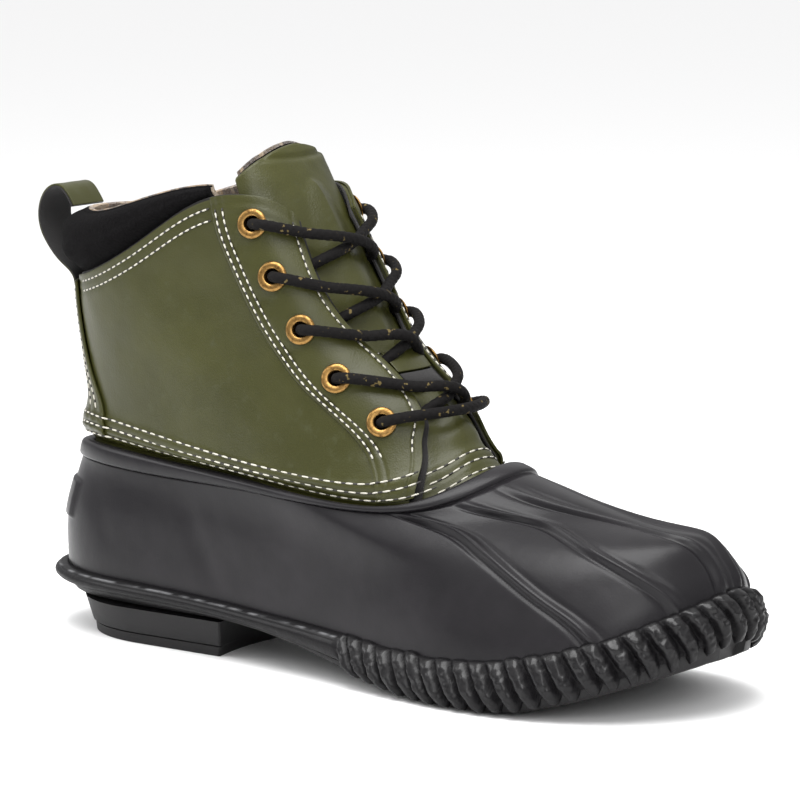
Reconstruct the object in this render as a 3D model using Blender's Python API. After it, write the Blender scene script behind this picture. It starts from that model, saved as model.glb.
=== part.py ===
"""Duck boot, right foot: moulded rubber shell, sole and heel, laced shaft, tongue and laces."""
import functools
import math

import bmesh
import bpy
import numpy as np

MM = 0.001

# Driving sizes in millimetres. +X toe, +Y inner (medial) side, +Z up, heel bottom centre at zero.
SHELL_WALL = 3.0
LIP_HEIGHT = 8.0
LIP_STEP = 1.3
RIB_HEIGHT = 1.6
SHAFT_WALL = 2.0
SHAFT_TUCK = 7.0
EYESTAY_STEP = 1.1
BAND_STEP = 0.8
FIT_GAP = 0.35
WIDE_GAP = 0.8
RAND_GAP = 1.05
PAD_GAP = 1.15
RAND_THICK = 4.6
RAND_BUMP = 2.1
LOBE_PITCH = 7.6
LACE_DIAMETER = 4.2
EYELET_OUTER = 5.6
EYELET_HOLE = 2.9
EYELET_BARREL = 3.5
LOOP_WIDTH = 18.0
STRAP_THICK = 1.6
LOOP_CURL = 19.0
TREAD_DEPTH = 2.0

# The boot's outer form: closed rings from the sole edge to the tongue top. Each ring runs from
# back_x to front_x; z is its height at seven stations and half its half width at five.
STATIONS = (0.0, 0.1, 0.3, 0.5, 0.7, 0.9, 1.0)
LEVEL_COLUMNS = ("name", "back_x", "front_x", "z", "half", "skew")
LEVELS = (
    ("sole_edge", -58.5, 247.5, (23.5, 23, 21.6, 16.8, 13.0, 24.0, 41), (31, 35.5, 41, 49.5, 39.5), 1.0),
    ("shell_1", -59.0, 245.5, (32, 31.5, 29.5, 26, 23.5, 35, 50), (31, 35.5, 40.5, 48.5, 38.5), 1.0),
    ("shell_2", -59.5, 241.5, (43, 42.5, 40, 36.5, 35, 46.5, 58), (30, 35, 39.5, 46.5, 34.5), 0.8),
    ("shell_3", -57.5, 233.5, (54, 53.5, 50.5, 47.5, 48.5, 59.5, 65), (28.5, 34.5, 38.5, 43.5, 27), 0.5),
    ("shell_4", -53.5, 206.0, (66, 65, 61, 59, 58.5, 66.5, 68.5), (26, 33.5, 37.5, 41.5, 19), 0.2),
    ("lip", -50.0, 150.0, (75, 76.5, 74.5, 72.3, 69.5, 71.0, 83.0), (24.5, 32.5, 37, 39, 32.5), 0.0),
    ("vamp", -48.0, 135.0, (88, 87.5, 84, 82.5, 83.5, 88, 93), (23, 32.5, 36.5, 37, 27.5), 0.0),
    ("ankle", -47.5, 125.0, (98, 98, 98.5, 100, 101.5, 103, 104), (22.5, 32.5, 36, 35, 26.0), 0.0),
    ("shaft_1", -50.5, 101.5, (120, 120, 120.5, 121, 122, 123, 123), (22.5, 32.5, 35, 34, 27.5), 0.0),
    ("shaft_2", -52.5, 87.0, (141, 141, 141, 141.5, 142, 142, 142), (22.5, 32.5, 34, 33.5, 29.0), 0.0),
    ("shaft_3", -53.0, 73.0, (160, 160.5, 161.5, 163, 164.5, 165, 165), (22, 32, 33.5, 33, 28.5), 0.0),
    ("shaft_4", -53.0, 60.5, (175, 176, 179, 182.5, 186, 187, 187), (21.5, 31, 32.5, 32, 27), 0.0),
    ("top", -53.0, 50.5, (191, 192, 196, 201, 203, 203, 203), (21, 30, 31.5, 31, 26), 0.0),
)
MEDIAL_SHIFT = (-1.0, -4.0, -5.0, 1.5, 7.0)
TIP_SHIFT = 8.0

# Shaft top line and the eyestay's front and rear edges, as seen from the side: x against z.
TOPLINE = ((-60, 139.5), (-54, 140), (-36, 143), (-20, 148.5), (-5, 156), (8, 164), (22, 172.5), (36, 178),
           (48, 179.5), (57, 178), (64, 173), (72, 164))
COLLAR_TOP = ((-70, 166), (-54, 166.5), (-30, 167), (-10, 171), (10, 177), (26, 181), (38, 182.5))
EYESTAY_FRONT = ((70, 128.5), (80, 128.0), (86, 126.5), (92, 124.5), (98, 123.5), (105, 118.5), (113, 110.0),
                 (126, 94.5), (145, 79.0), (160, 70.5), (173, 64.2), (184, 60.0))
EYESTAY_REAR = ((74, 116.0), (82, 112.0), (96, 99.0), (108, 82.0), (121, 68.0), (138, 55.0), (154, 45.0),
                (166, 38.5), (176, 35.5), (190, 33.0))
EYELETS = ((54.2, 169.5), (64.5, 150.3), (76.9, 131.0), (92.8, 113.5), (112.0, 98.4))
LOOP_PATH = ((-55.65, 135.3), (-55.8, 138.6), (-58.0, 141.8), (-62.3, 145.2), (-67.5, 150.4), (-71.6, 157.5),
             (-72.4, 165.0), (-69.0, 172.0), (-63.0, 174.6), (-58.0, 172.0), (-54.6, 167.0))

# Ribs on the vamp: turn angle at the lip and at the rand, each mirrored on the far side.
RIBS = (("a", 0.20, 0.16), ("b", 0.48, 0.52), ("c", 0.86, 0.95))
RIB_HALF = 0.055


@functools.lru_cache(maxsize=None)
def spline_frame(knots, period):
    """Ends, unit values and bends of the cardinal cubic spline on these knots."""
    knots = np.asarray(knots, float)
    count = len(knots)
    if period is None:
        ends = knots
        eye = np.eye(count)
    else:
        ends = np.append(knots, knots[0] + period)
        eye = np.vstack([np.eye(count), np.eye(count)[:1]])
    step = np.diff(ends)
    slope = np.diff(eye, axis=0) / step[:, None]
    matrix = np.zeros((count, count))
    right = np.zeros((count, count))
    for i in range(count):
        if period is None and i in (0, count - 1):
            matrix[i, i] = 1.0
            continue
        back, ahead = step[i - 1], step[i]
        matrix[i, i - 1] += back
        matrix[i, i] += 2 * (back + ahead)
        matrix[i, (i + 1) % count] += ahead
        right[i] = 6 * (slope[i] - slope[i - 1])
    bend = np.linalg.solve(matrix, right)
    if period is not None:
        bend = np.vstack([bend, bend[:1]])
    return ends, step, eye, bend


def cardinal(knots, at, period=None):
    """Cubic spline basis: one row of weights for each place in `at`."""
    ends, step, eye, bend = spline_frame(tuple(float(k) for k in knots), period)
    at = np.asarray(at, float)
    if period is not None:
        at = (at - ends[0]) % period + ends[0]
    cell = np.clip(np.searchsorted(ends, at, side="right") - 1, 0, len(step) - 1)
    width = step[cell][:, None]
    t = (at - ends[cell])[:, None] / width
    line = eye[cell] * (1 - t) + eye[cell + 1] * t
    low = ((1 - t) ** 3 - (1 - t)) * bend[cell]
    high = (t ** 3 - t) * bend[cell + 1]
    return line + width ** 2 / 6 * (low + high)


def control_net():
    """Angles of the ring stations and their positions on every level."""
    half_turn = [math.acos(1 - 2 * f) for f in STATIONS]
    angles = half_turn + [2 * math.pi - a for a in half_turn[-2:0:-1]]
    net = []
    for row in LEVELS:
        level = dict(zip(LEVEL_COLUMNS, row))
        span = level["front_x"] - level["back_x"]
        x = [level["back_x"] + span * f for f in STATIONS]
        near = [0.0] + [-h for h in level["half"]] + [TIP_SHIFT * level["skew"]]
        far = [h + s * level["skew"] for h, s in zip(level["half"], MEDIAL_SHIFT)]
        ring = list(zip(x, near, level["z"]))
        ring += list(zip(x[-2:0:-1], far[::-1], level["z"][-2:0:-1]))
        net.append(ring)
    return np.array(angles), np.array(net, float)


ANGLES, NET = control_net()
TOP_LEVEL = len(LEVELS) - 1.0
FRONT = math.pi


def form(turn, level, out=0.0):
    """Points of the outer form at ring angle `turn` and height `level`, moved `out` along the normal."""
    turn, level, out = np.broadcast_arrays(np.asarray(turn, float), level, out)
    shape = turn.shape

    def place(a, v):
        around = cardinal(ANGLES, a, 2 * math.pi)
        upward = cardinal(np.arange(len(LEVELS)), v)
        return np.einsum("nl,lkc,nk->nc", upward, NET, around)

    a, v = turn.ravel(), level.ravel()
    point = place(a, v)
    along = place(a + 0.01, v) - place(a - 0.01, v)
    up = place(a, v + 0.02) - place(a, v - 0.02)
    normal = np.cross(along, up)
    normal /= np.linalg.norm(normal, axis=1)[:, None]
    return (point + normal * out.ravel()[:, None]).reshape(shape + (3,))


def table(rows, at):
    """Smooth value between the rows of a two-column table."""
    rows = np.asarray(rows, float)
    at = np.clip(at, rows[0, 0], rows[-1, 0])
    return cardinal(rows[:, 0], np.atleast_1d(at)) @ rows[:, 1]


def level_at(turn, height):
    """Level at which the form reaches a height; `height` is a number or a function of x."""
    turn = np.atleast_1d(np.asarray(turn, float))
    low = np.zeros(len(turn))
    high = np.full(len(turn), TOP_LEVEL)
    for _ in range(26):
        mid = (low + high) / 2
        p = form(turn, mid)
        goal = height(p[:, 0]) if callable(height) else height
        over = p[:, 2] > goal
        high = np.where(over, mid, high)
        low = np.where(over, low, mid)
    return (low + high) / 2


def turn_at(level, line, side):
    """Ring angle on a level where its x meets a side-view line of z and x; side -1 near, 1 far."""
    level = np.atleast_1d(np.asarray(level, float))
    low = np.full(len(level), 0.35)
    high = np.full(len(level), FRONT)
    for _ in range(26):
        mid = (low + high) / 2
        p = form(mid if side < 0 else 2 * math.pi - mid, level)
        over = p[:, 0] > table(line, p[:, 2])
        high = np.where(over, mid, high)
        low = np.where(over, low, mid)
    mid = (low + high) / 2
    return mid if side < 0 else 2 * math.pi - mid


def spot(x, z, side):
    """Ring angle and level of the form's point at a given x and z on one side."""
    turn, level = np.array([1.8]), np.array([8.0])
    for _ in range(10):
        level = level_at(turn if side < 0 else 2 * math.pi - turn, z)
        low, high = 0.3, FRONT
        for _ in range(22):
            mid = (low + high) / 2
            p = form(np.array([mid if side < 0 else 2 * math.pi - mid]), level)
            low, high = (low, mid) if p[0, 0] > x else (mid, high)
        turn = np.array([(low + high) / 2])
    return (turn[0] if side < 0 else 2 * math.pi - turn[0]), level[0]


def clear_scene():
    for ob in list(bpy.data.objects):
        bpy.data.objects.remove(ob, do_unlink=True)


def material(name, colour, rough, metal=0.0):
    made = bpy.data.materials.new(name)
    made.use_nodes = True
    shader = made.node_tree.nodes["Principled BSDF"]
    shader.inputs["Base Color"].default_value = (*colour, 1.0)
    shader.inputs["Roughness"].default_value = rough
    shader.inputs["Metallic"].default_value = metal
    return made


def add_mesh(name, points, faces, made=None, home=None):
    mesh = bpy.data.meshes.new(name)
    mesh.from_pydata([tuple(np.asarray(p) * MM) for p in points], [], faces)
    work = bmesh.new()
    work.from_mesh(mesh)
    bmesh.ops.recalc_face_normals(work, faces=work.faces)
    work.to_mesh(mesh)
    work.free()
    ob = bpy.data.objects.new(name, mesh)
    (home or BOOT).objects.link(ob)
    if made:
        mesh.materials.append(made)
    return ob


def wall(name, outer, inner, closed, made=None, home=None):
    """Solid between an outer and an inner grid of rows by columns; the columns may close in a ring."""
    rows, columns = outer.shape[:2]
    points = np.concatenate([outer.reshape(-1, 3), inner.reshape(-1, 3)])
    shift = rows * columns
    faces = []
    for c in range(columns if closed else columns - 1):
        d = (c + 1) % columns
        for r in range(rows - 1):
            low, high = r * columns, (r + 1) * columns
            faces.append((low + c, low + d, high + d, high + c))
            faces.append((shift + low + c, shift + high + c, shift + high + d, shift + low + d))
        last = (rows - 1) * columns
        faces.append((c, shift + c, shift + d, d))
        faces.append((last + c, last + d, shift + last + d, shift + last + c))
    if not closed:
        for c in (0, columns - 1):
            for r in range(rows - 1):
                low, high = r * columns + c, (r + 1) * columns + c
                faces.append((low, high, shift + high, shift + low))
    return add_mesh(name, points, faces, made, home)


def stack(name, rings, made=None, home=None):
    """Solid from closed rings one above another, capped at both ends."""
    rings = np.asarray(rings, float)
    count, size = rings.shape[:2]
    faces = [tuple(range(size)), tuple((count - 1) * size + i for i in range(size))]
    for r in range(count - 1):
        for c in range(size):
            d = (c + 1) % size
            faces.append((r * size + c, r * size + d, (r + 1) * size + d, (r + 1) * size + c))
    return add_mesh(name, rings.reshape(-1, 3), faces, made, home)


def boolean(target, tool, operation, solver="EXACT"):
    """Join or cut with another object, which stays in the cutters collection."""
    step = target.modifiers.new(tool.name, "BOOLEAN")
    step.object = tool
    step.operation = operation
    step.solver = solver


def to_cutters(ob):
    for home in list(ob.users_collection):
        home.objects.unlink(ob)
    CUTTERS.objects.link(ob)
    ob.display_type = "WIRE"


def blend(start, end, count):
    """Points from start to end, evenly spaced in `count` columns."""
    t = np.linspace(0, 1, count)[None, :]
    return np.asarray(start)[:, None] * (1 - t) + np.asarray(end)[:, None] * t


clear_scene()
BOOT = bpy.data.collections.new("duck_boot")
CUTTERS = bpy.data.collections.new("cutters")
bpy.context.scene.collection.children.link(BOOT)
bpy.context.scene.collection.children.link(CUTTERS)
CUTTERS.hide_render = True

RUBBER = material("shell_rubber", (0.018, 0.018, 0.019), 0.45)
SOLE_RUBBER = material("sole_rubber", (0.022, 0.022, 0.022), 0.6)
GREEN = material("green_leather", (0.085, 0.1, 0.035), 0.42)
FELT = material("collar_felt", (0.012, 0.012, 0.013), 0.95)
CORD = material("lace_cord", (0.015, 0.015, 0.016), 0.7)
BRASS = material("eyelet_brass", (0.45, 0.28, 0.1), 0.35, 0.9)
FLEECE = material("insole_fleece", (0.16, 0.12, 0.08), 0.95)

LIP_LEVEL = 5.0


def below_lip(turn, depth):
    """Level at a distance below the lip's top edge, measured along the form."""
    turn = np.asarray(turn, float)
    pace = np.linalg.norm(form(turn, LIP_LEVEL) - form(turn, LIP_LEVEL - 0.1), axis=-1) / 0.1
    return LIP_LEVEL - depth / pace


# Rubber shell: columns follow the ribs, rows step out at the lip.
LOW_SHARES = (0.0, 0.12, 0.28, 0.47, 0.67, 0.86, 1.0)
LIP_ROWS = ((LIP_HEIGHT - 0.9, 1.0), (1.0, 1.0), (0.0, 0.4))
rib_marks = [(0.0, 0.0, 0.0)]
for _, at_lip, at_rand in RIBS:
    rib_marks.append((at_lip - RIB_HALF, at_rand - RIB_HALF, 0.0))
    rib_marks.append((at_lip, at_rand, 1.0))
    rib_marks.append((at_lip + RIB_HALF, at_rand + RIB_HALF, 0.0))
plain = [(a, a, 0.0) for a in np.linspace(1.16, FRONT, 12)]
between = [(0.34, 0.34, 0.0), (0.67, 0.73, 0.0)]
half_marks = sorted(rib_marks + between + plain)
marks = half_marks + [(-a, -b, r) for a, b, r in half_marks[-2:0:-1]]
at_lip, at_rand, is_rib = (np.array(column) for column in zip(*marks))
shell_turn, shell_level, shell_out = [], [], []
for share in LOW_SHARES:
    turn = FRONT + at_lip * share + at_rand * (1 - share)
    shell_turn.append(turn)
    shell_level.append(below_lip(turn, LIP_HEIGHT) * share)
    fade = min(1.0, share / 0.28, (1 - share) / 0.14)
    shell_out.append(RIB_HEIGHT * fade * is_rib)
for depth, step in LIP_ROWS:
    turn = FRONT + at_lip
    shell_turn.append(turn)
    shell_level.append(below_lip(turn, depth))
    shell_out.append(np.full(len(turn), LIP_STEP * step))
shell_turn, shell_level, shell_out = np.array(shell_turn), np.array(shell_level), np.array(shell_out)
shell = wall("rubber_shell", form(shell_turn, shell_level, shell_out),
             form(shell_turn, shell_level, np.full(shell_out.shape, -SHELL_WALL)), True, RUBBER)

# Raised bare patch on the shell's back.
patch_turn = blend(np.full(4, -0.42), np.full(4, 0.42), 9)
patch_level = np.repeat(np.array([2.2, 2.35, 3.25, 3.4])[:, None], 9, axis=1)
patch_out = np.full((4, 9), 1.3)
patch_out[[0, -1], :] = 0.3
patch_out[:, [0, -1]] = 0.3
badge = wall("badge_patch", form(patch_turn, patch_level, patch_out),
             form(patch_turn, patch_level, -1.0 + 0 * patch_out), False, None, CUTTERS)
boolean(shell, badge, "UNION")

# Rand: smooth roll round the heel, slanted lobes from the waist round the toe.
edge_turn = np.linspace(0, 2 * math.pi, 2001)
edge = form(edge_turn, 0.0)
run = np.concatenate([[0], np.cumsum(np.linalg.norm(np.diff(edge, axis=0), axis=1))])
front_at = np.interp(FRONT, edge_turn, run)
LOBE_REACH = 23
smooth_start = front_at - LOBE_REACH * LOBE_PITCH
smooth_end = front_at + LOBE_REACH * LOBE_PITCH
lobe_run = np.arange(smooth_start, smooth_end + 0.01, LOBE_PITCH / 2)
heel_run = np.linspace(smooth_end, smooth_start + run[-1], 36)[1:-1]
rand_run = np.concatenate([lobe_run, heel_run])
lobed = np.concatenate([np.ones(len(lobe_run)), np.zeros(len(heel_run))])
swell = lobed * (0.5 - 0.5 * np.cos(2 * math.pi * (rand_run - smooth_start) / LOBE_PITCH))
rand_rows = (("bottom", -0.62, 0.4), ("low", -0.4, 1.0), ("high", 0.35, 1.0), ("top", 0.56, 0.3))
slant = 0.5 * LOBE_PITCH
outer, inner = [], []
tall = 0.68 + 0.32 * np.clip((np.interp(rand_run % run[-1], run, edge[:, 0]) - 60) / 50, 0, 1)
for _, v, bulge in rand_rows:
    turn = np.interp((rand_run - lobed * slant * v) % run[-1], run, edge_turn)
    out = RAND_GAP + (RAND_THICK - RAND_BUMP * lobed * (1 - swell)) * bulge
    outer.append(form(turn, v * tall, out))
    inner.append(form(turn, v * tall, RAND_GAP + 0 * out))
rand = wall("rand", np.array(outer), np.array(inner), True, RUBBER)

# Outsole: plate under the shell, ledge under the rand, rocker bottom with cross grooves.
SOLE_BOTTOM = ((-62, 15.3), (42, 15.3), (60, 13.8), (80, 11.2), (100, 7.2), (120, 3.2), (138, 0.7), (150, 0.0),
               (164, 0.0), (176, 0.0), (190, 1.6), (210, 7.2), (230, 14.2), (245, 20.6), (256, 25.5))
GROOVES = (112.0, 123.0, 134.0, 144.0, 182.0, 193.0, 204.0, 215.0, 226.0)


def plate(name, rings, made=None, home=None):
    """Solid from outlines one above another; each cap is a ladder of faces across the outline."""
    rings = np.asarray(rings, float)
    count, size = rings.shape[:2]
    faces = []
    for r in (0, count - 1):
        base = r * size
        for j in range(size // 2):
            face = (base + j, base + j + 1, base + size - j - 1, base + (size - j) % size)
            faces.append(tuple(dict.fromkeys(face)))
    for r in range(count - 1):
        for c in range(size):
            d = (c + 1) % size
            faces.append((r * size + c, r * size + d, (r + 1) * size + d, (r + 1) * size + c))
    return add_mesh(name, rings.reshape(-1, 3), faces, made, home)


def outline_turns(stations):
    """Ring angles at the given lengthwise shares, out along the near side and back on the far side."""
    near = [math.acos(1 - 2 * f) for f in stations]
    return np.array([0.0] + near + [FRONT] + [2 * math.pi - a for a in near[::-1]])


def sole_floor(x):
    rows = np.array(SOLE_BOTTOM)
    return np.interp(x, rows[:, 0], rows[:, 1])


sole_turn = outline_turns([0.008, 0.03, 0.07, 0.13, 0.2, 0.28, 0.35, 0.42, 0.48, 0.53, 0.58, 0.628, 0.684, 0.725,
                           0.762, 0.81, 0.86, 0.9, 0.935, 0.962, 0.982, 0.995])
heel_share = np.clip((form(sole_turn, 0.0)[:, 0] - 60) / 50, 0, 1)
low_level = -0.62 * (0.68 + 0.32 * heel_share)
seat = form(sole_turn, low_level)
top_ring = form(sole_turn, -0.05, -0.3)
neck_ring = form(sole_turn, low_level, -0.3)
ledge_ring = form(sole_turn, low_level, 2.6 * heel_share)
bevel_ring = form(sole_turn, low_level, 0.5 - (1 - heel_share))
floor_ring = form(sole_turn, low_level, -5.5)
neck_ring[:, 2] = seat[:, 2] - 0.45
ledge_ring[:, 2] = seat[:, 2] - 0.45
floor_ring[:, 2] = np.minimum(sole_floor(floor_ring[:, 0]), seat[:, 2] - 1.8)
bevel_ring[:, 2] = np.minimum(floor_ring[:, 2] + 1.6, seat[:, 2] - 1.2)
outsole = plate("outsole", [top_ring, neck_ring, ledge_ring, bevel_ring, floor_ring], SOLE_RUBBER)
for number, x in enumerate(GROOVES):
    z = float(sole_floor(x))
    tilt = math.atan2(float(sole_floor(x + 3)) - float(sole_floor(x - 3)), 6.0)
    bpy.ops.mesh.primitive_cube_add(size=1.0, location=(x * MM, 0, z * MM), rotation=(0, -tilt, 0))
    groove = bpy.context.object
    groove.name = "groove_%d" % number
    groove.scale = (4.0 * MM, 74 * MM, 2 * TREAD_DEPTH * MM)
    to_cutters(groove)
    boolean(outsole, groove, "DIFFERENCE")

# Heel block with its top lift stepped in; the breast is hollowed.
HEEL_RINGS = (("lift_bottom", 0.0, -43.0, 30.6), ("lift_top", 4.0, -43.4, 30.9), ("block_low", 4.05, -44.2, 31.7),
              ("block_top", 14.6, -46.6, 34.6))
HEEL_BREAST = 37.0
HEEL_ROUND = 38.0
BREAST_HOLLOW = 4.5
heel_rings = []
for _, z, back_x, half in HEEL_RINGS:
    swing = np.linspace(0, math.pi / 2, 9)
    arc = [(back_x + HEEL_ROUND * (1 - math.cos(a)), -half * math.sin(a) ** 0.9) for a in swing]
    across = np.linspace(-half, half, 9)
    front = HEEL_BREAST + 0.2 * z
    breast = [(front - BREAST_HOLLOW * (1 - (y / half) ** 2), y) for y in across]
    far = [(x, -y) for x, y in arc[:0:-1]]
    heel_rings.append([(x, y, z) for x, y in arc + breast + far])
heel = stack("heel", heel_rings, SOLE_RUBBER)

# Insole on the plate, inside the shell.
insole_turn = outline_turns([0.01, 0.05, 0.12, 0.22, 0.34, 0.46, 0.58, 0.7, 0.8, 0.88, 0.94, 0.98])
insole_low = form(insole_turn, 0.0, -SHELL_WALL - 0.9)
insole_low[:, 2] += 0.35
insole_high = form(insole_turn, 0.3, -SHELL_WALL - 1.2)
insole = plate("insole", [insole_low, insole_high], FLEECE)


def under_lip(level):
    """Depth of the shaft's outer face: inside the shell below the lip, out to the form above it."""
    t = np.clip((np.asarray(level, float) - 5.02) / 0.9, 0, 1)
    return -(SHELL_WALL + WIDE_GAP) * (1 - t * t * (3 - 2 * t))


# Shaft: wall round the back from one eyestay edge to the other, stepped out in a bottom band.
def topline(x):
    return table(TOPLINE, x)


BAND_LEVEL = 5.92
low_rows = ((4.35, 0.0), (5.08, 0.0), (5.16, 1.0), (5.5, 1.0), (BAND_LEVEL - 0.04, 1.0), (BAND_LEVEL + 0.05, 0.0))
high_share = np.linspace(0, 1, 7)[1:]
side_turn = np.concatenate([np.linspace(1, 0.75, 5), np.linspace(0.67, -0.67, 18), np.linspace(-0.75, -1, 5)])


def level_rows(turn_guess):
    """Levels of the shaft's rows at one column: fixed up to the band, then shared up to the topline."""
    top = level_at(turn_guess, topline)
    low = np.array([r[0] for r in low_rows])
    low[0] = below_lip(turn_guess, SHAFT_TUCK)[0]
    base = low[-1]
    return np.concatenate([low, base + (top[0] - base) * high_share])


def shaft_grid(shares):
    """Turn and level of every row and column; shares run from 1 at the near edge to -1 at the far one."""
    count = len(low_rows) + len(high_share)
    rows = np.tile(np.linspace(5, 10.5, count), (len(shares), 1))
    turns = np.zeros((len(shares), count))
    for _ in range(3):
        for c, s in enumerate(shares):
            turns[c] = s * turn_at(rows[c], EYESTAY_FRONT, -1)
            rows[c] = level_rows(np.array([turns[c, -1]]))
    return turns.T, rows.T


turns, rows = shaft_grid(side_turn)
band = np.array([r[1] for r in low_rows] + [0.0] * len(high_share))[:, None]
shaft_out = under_lip(rows) + BAND_STEP * band
shaft = wall("shaft", form(turns, rows, shaft_out), form(turns, rows, under_lip(rows) - SHAFT_WALL), False, GREEN)

# Eyestay on each side: a band from the front edge back to its double row of stitches.
for side in (-1, 1):
    place = 0 if side < 0 else -1
    level = rows[:, place].copy()
    level[0] = 5.1
    front = turn_at(level, EYESTAY_FRONT, -1) + 0.03
    rear = turn_at(level, EYESTAY_REAR, -1)
    share = np.linspace(0, 1, 5)[None, :]
    turn = front[:, None] * (1 - share) + rear[:, None] * share
    level = np.repeat(level[:, None], 5, axis=1)
    crown = level_at(turn[-1], topline)
    for c in range(5):
        level[len(low_rows):, c] = level[len(low_rows) - 1, c] + (crown[c] + 0.06 - BAND_LEVEL) * high_share
    out = under_lip(level) + EYESTAY_STEP + BAND_STEP * (level < BAND_LEVEL)
    deep = under_lip(level) - SHAFT_WALL * 0.75
    if side > 0:
        turn = 2 * math.pi - turn
    stay = wall("eyestay_%s" % ("near" if side < 0 else "far"), form(turn, level, out), form(turn, level, deep),
                False, None, CUTTERS)
    boolean(shaft, stay, "UNION", "MANIFOLD")


def frame_at(turn, level, out):
    """Position and outward normal of the form."""
    low, high = form(turn, level, out), form(turn, level, out + 1.0)
    return low, high - low


def lathe(name, centre, axis, profile, sides, made=None, home=None):
    """Turned ring from a closed profile of radius and height about an axis."""
    axis = axis / np.linalg.norm(axis)
    right = np.cross(axis, (0.0, 0.0, 1.0))
    right /= np.linalg.norm(right)
    up = np.cross(axis, right)
    rings = []
    for a in np.linspace(0, 2 * math.pi, sides, endpoint=False):
        spoke = right * math.cos(a) + up * math.sin(a)
        rings.append([centre + spoke * r + axis * h for r, h in profile])
    count = len(profile)
    faces = []
    for s in range(sides):
        t = (s + 1) % sides
        for i in range(count):
            j = (i + 1) % count
            faces.append((s * count + i, s * count + j, t * count + j, t * count + i))
    return add_mesh(name, np.array(rings).reshape(-1, 3), faces, made, home)


# Eyelets: turned rings through the eyestays, each in a clear hole.
EYELET_RING = ((EYELET_HOLE, -1.7), (EYELET_BARREL, -1.7), (EYELET_BARREL, EYESTAY_STEP + 0.4),
               (EYELET_OUTER, EYESTAY_STEP + 0.4), (EYELET_OUTER - 0.9, EYESTAY_STEP + 1.5),
               (EYELET_HOLE, EYESTAY_STEP + 1.1))
eyelet_spots = {}
for side, word in ((-1, "near"), (1, "far")):
    for row, (x, z) in enumerate(EYELETS, 1):
        turn, level = spot(x, z, side)
        eyelet_spots[word, row] = (turn, level)
        centre, axis = frame_at(turn, level, 0.0)
        swing = np.linspace(0, 2 * math.pi, 16, endpoint=False)
        right = np.cross(axis, (0.0, 0.0, 1.0))
        right /= np.linalg.norm(right)
        up = np.cross(axis, right)
        spokes = np.outer(np.cos(swing), right) + np.outer(np.sin(swing), up)
        reach = EYELET_BARREL + FIT_GAP
        ends = [centre + axis * h + spokes * reach for h in (-4.5, 3.5)]
        hole = stack("hole_%s_%d" % (word, row), ends, None, CUTTERS)
        boolean(shaft, hole, "DIFFERENCE", "MANIFOLD")
        lathe("eyelet_%s_%d" % (word, row), centre, axis, EYELET_RING, 12, BRASS)

# Tongue with the vamp at its foot: inside the shell and shaft at the sides, proud between the eyestays.
TONGUE_REACH = 0.98
TONGUE_TUCK = 7.5
TONGUE_RISE = 2.2
TONGUE_DROP = 13.0
tongue_share = np.linspace(-1, 1, 13)
tongue_foot = below_lip(FRONT + TONGUE_REACH * tongue_share, TONGUE_TUCK)
tongue_top = level_at(FRONT + TONGUE_REACH * 0.82 * tongue_share,
                      200.0 - TONGUE_DROP * np.abs(tongue_share) ** 1.6)
tongue_low = np.array([LIP_LEVEL - 0.03, 5.2, 5.45, 5.92])
tongue_level = [tongue_foot] + [np.full(13, v) for v in tongue_low]
for share in np.linspace(0, 1, 9)[1:]:
    tongue_level.append(tongue_low[-1] + share * (tongue_top - tongue_low[-1]))
tongue_level = np.array(tongue_level)
row_share = tongue_level[:, 6] / tongue_level[-1, 6]
row_share = (row_share - row_share[0]) / (1 - row_share[0])
narrow = 1 - 0.18 * row_share
tongue_turn = FRONT + TONGUE_REACH * narrow[:, None] * tongue_share[None, :]
gap_turn = FRONT - np.array([turn_at(l, EYESTAY_FRONT, -1) for l in tongue_level])
inset = np.clip((gap_turn - np.abs(tongue_turn - FRONT) - 0.16) / 0.2, 0, 1)
proud = inset * inset * (3 - 2 * inset)
tongue_out = under_lip(tongue_level) - (SHAFT_WALL + PAD_GAP) + TONGUE_RISE * proud
pad = np.interp(row_share, [0, 0.3, 0.6, 0.93, 1.0], [2.2, 3.0, 7.0, 8.5, 4.0])[:, None]
pad = pad * (1 - 0.45 * np.abs(tongue_share[None, :]) ** 3)
tongue_out[-1] -= 2.0
tongue = wall("tongue", form(tongue_turn, tongue_level, tongue_out),
              form(tongue_turn, tongue_level, tongue_out - pad), False, GREEN)

# Lace keeper: a short strip across the tongue between the third and fourth eyelets.
keeper_level = np.repeat(level_at(np.full(3, FRONT), np.array([116.0, 119.5, 123.0]))[:, None], 7, axis=1)
keeper_turn = np.repeat(blend([FRONT - 0.2], [FRONT + 0.2], 7), 3, axis=0)
keeper_edge = FRONT - turn_at(keeper_level[:, 0], EYESTAY_FRONT, -1)
keeper_in = np.clip((keeper_edge[:, None] - np.abs(keeper_turn - FRONT) - 0.16) / 0.2, 0, 1)
keeper_out = -(SHAFT_WALL + PAD_GAP) + TONGUE_RISE * keeper_in * keeper_in * (3 - 2 * keeper_in)
wall("tongue_keeper", form(keeper_turn, keeper_level, keeper_out + PAD_GAP + 1.2),
     form(keeper_turn, keeper_level, keeper_out + PAD_GAP), False, GREEN)

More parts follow.
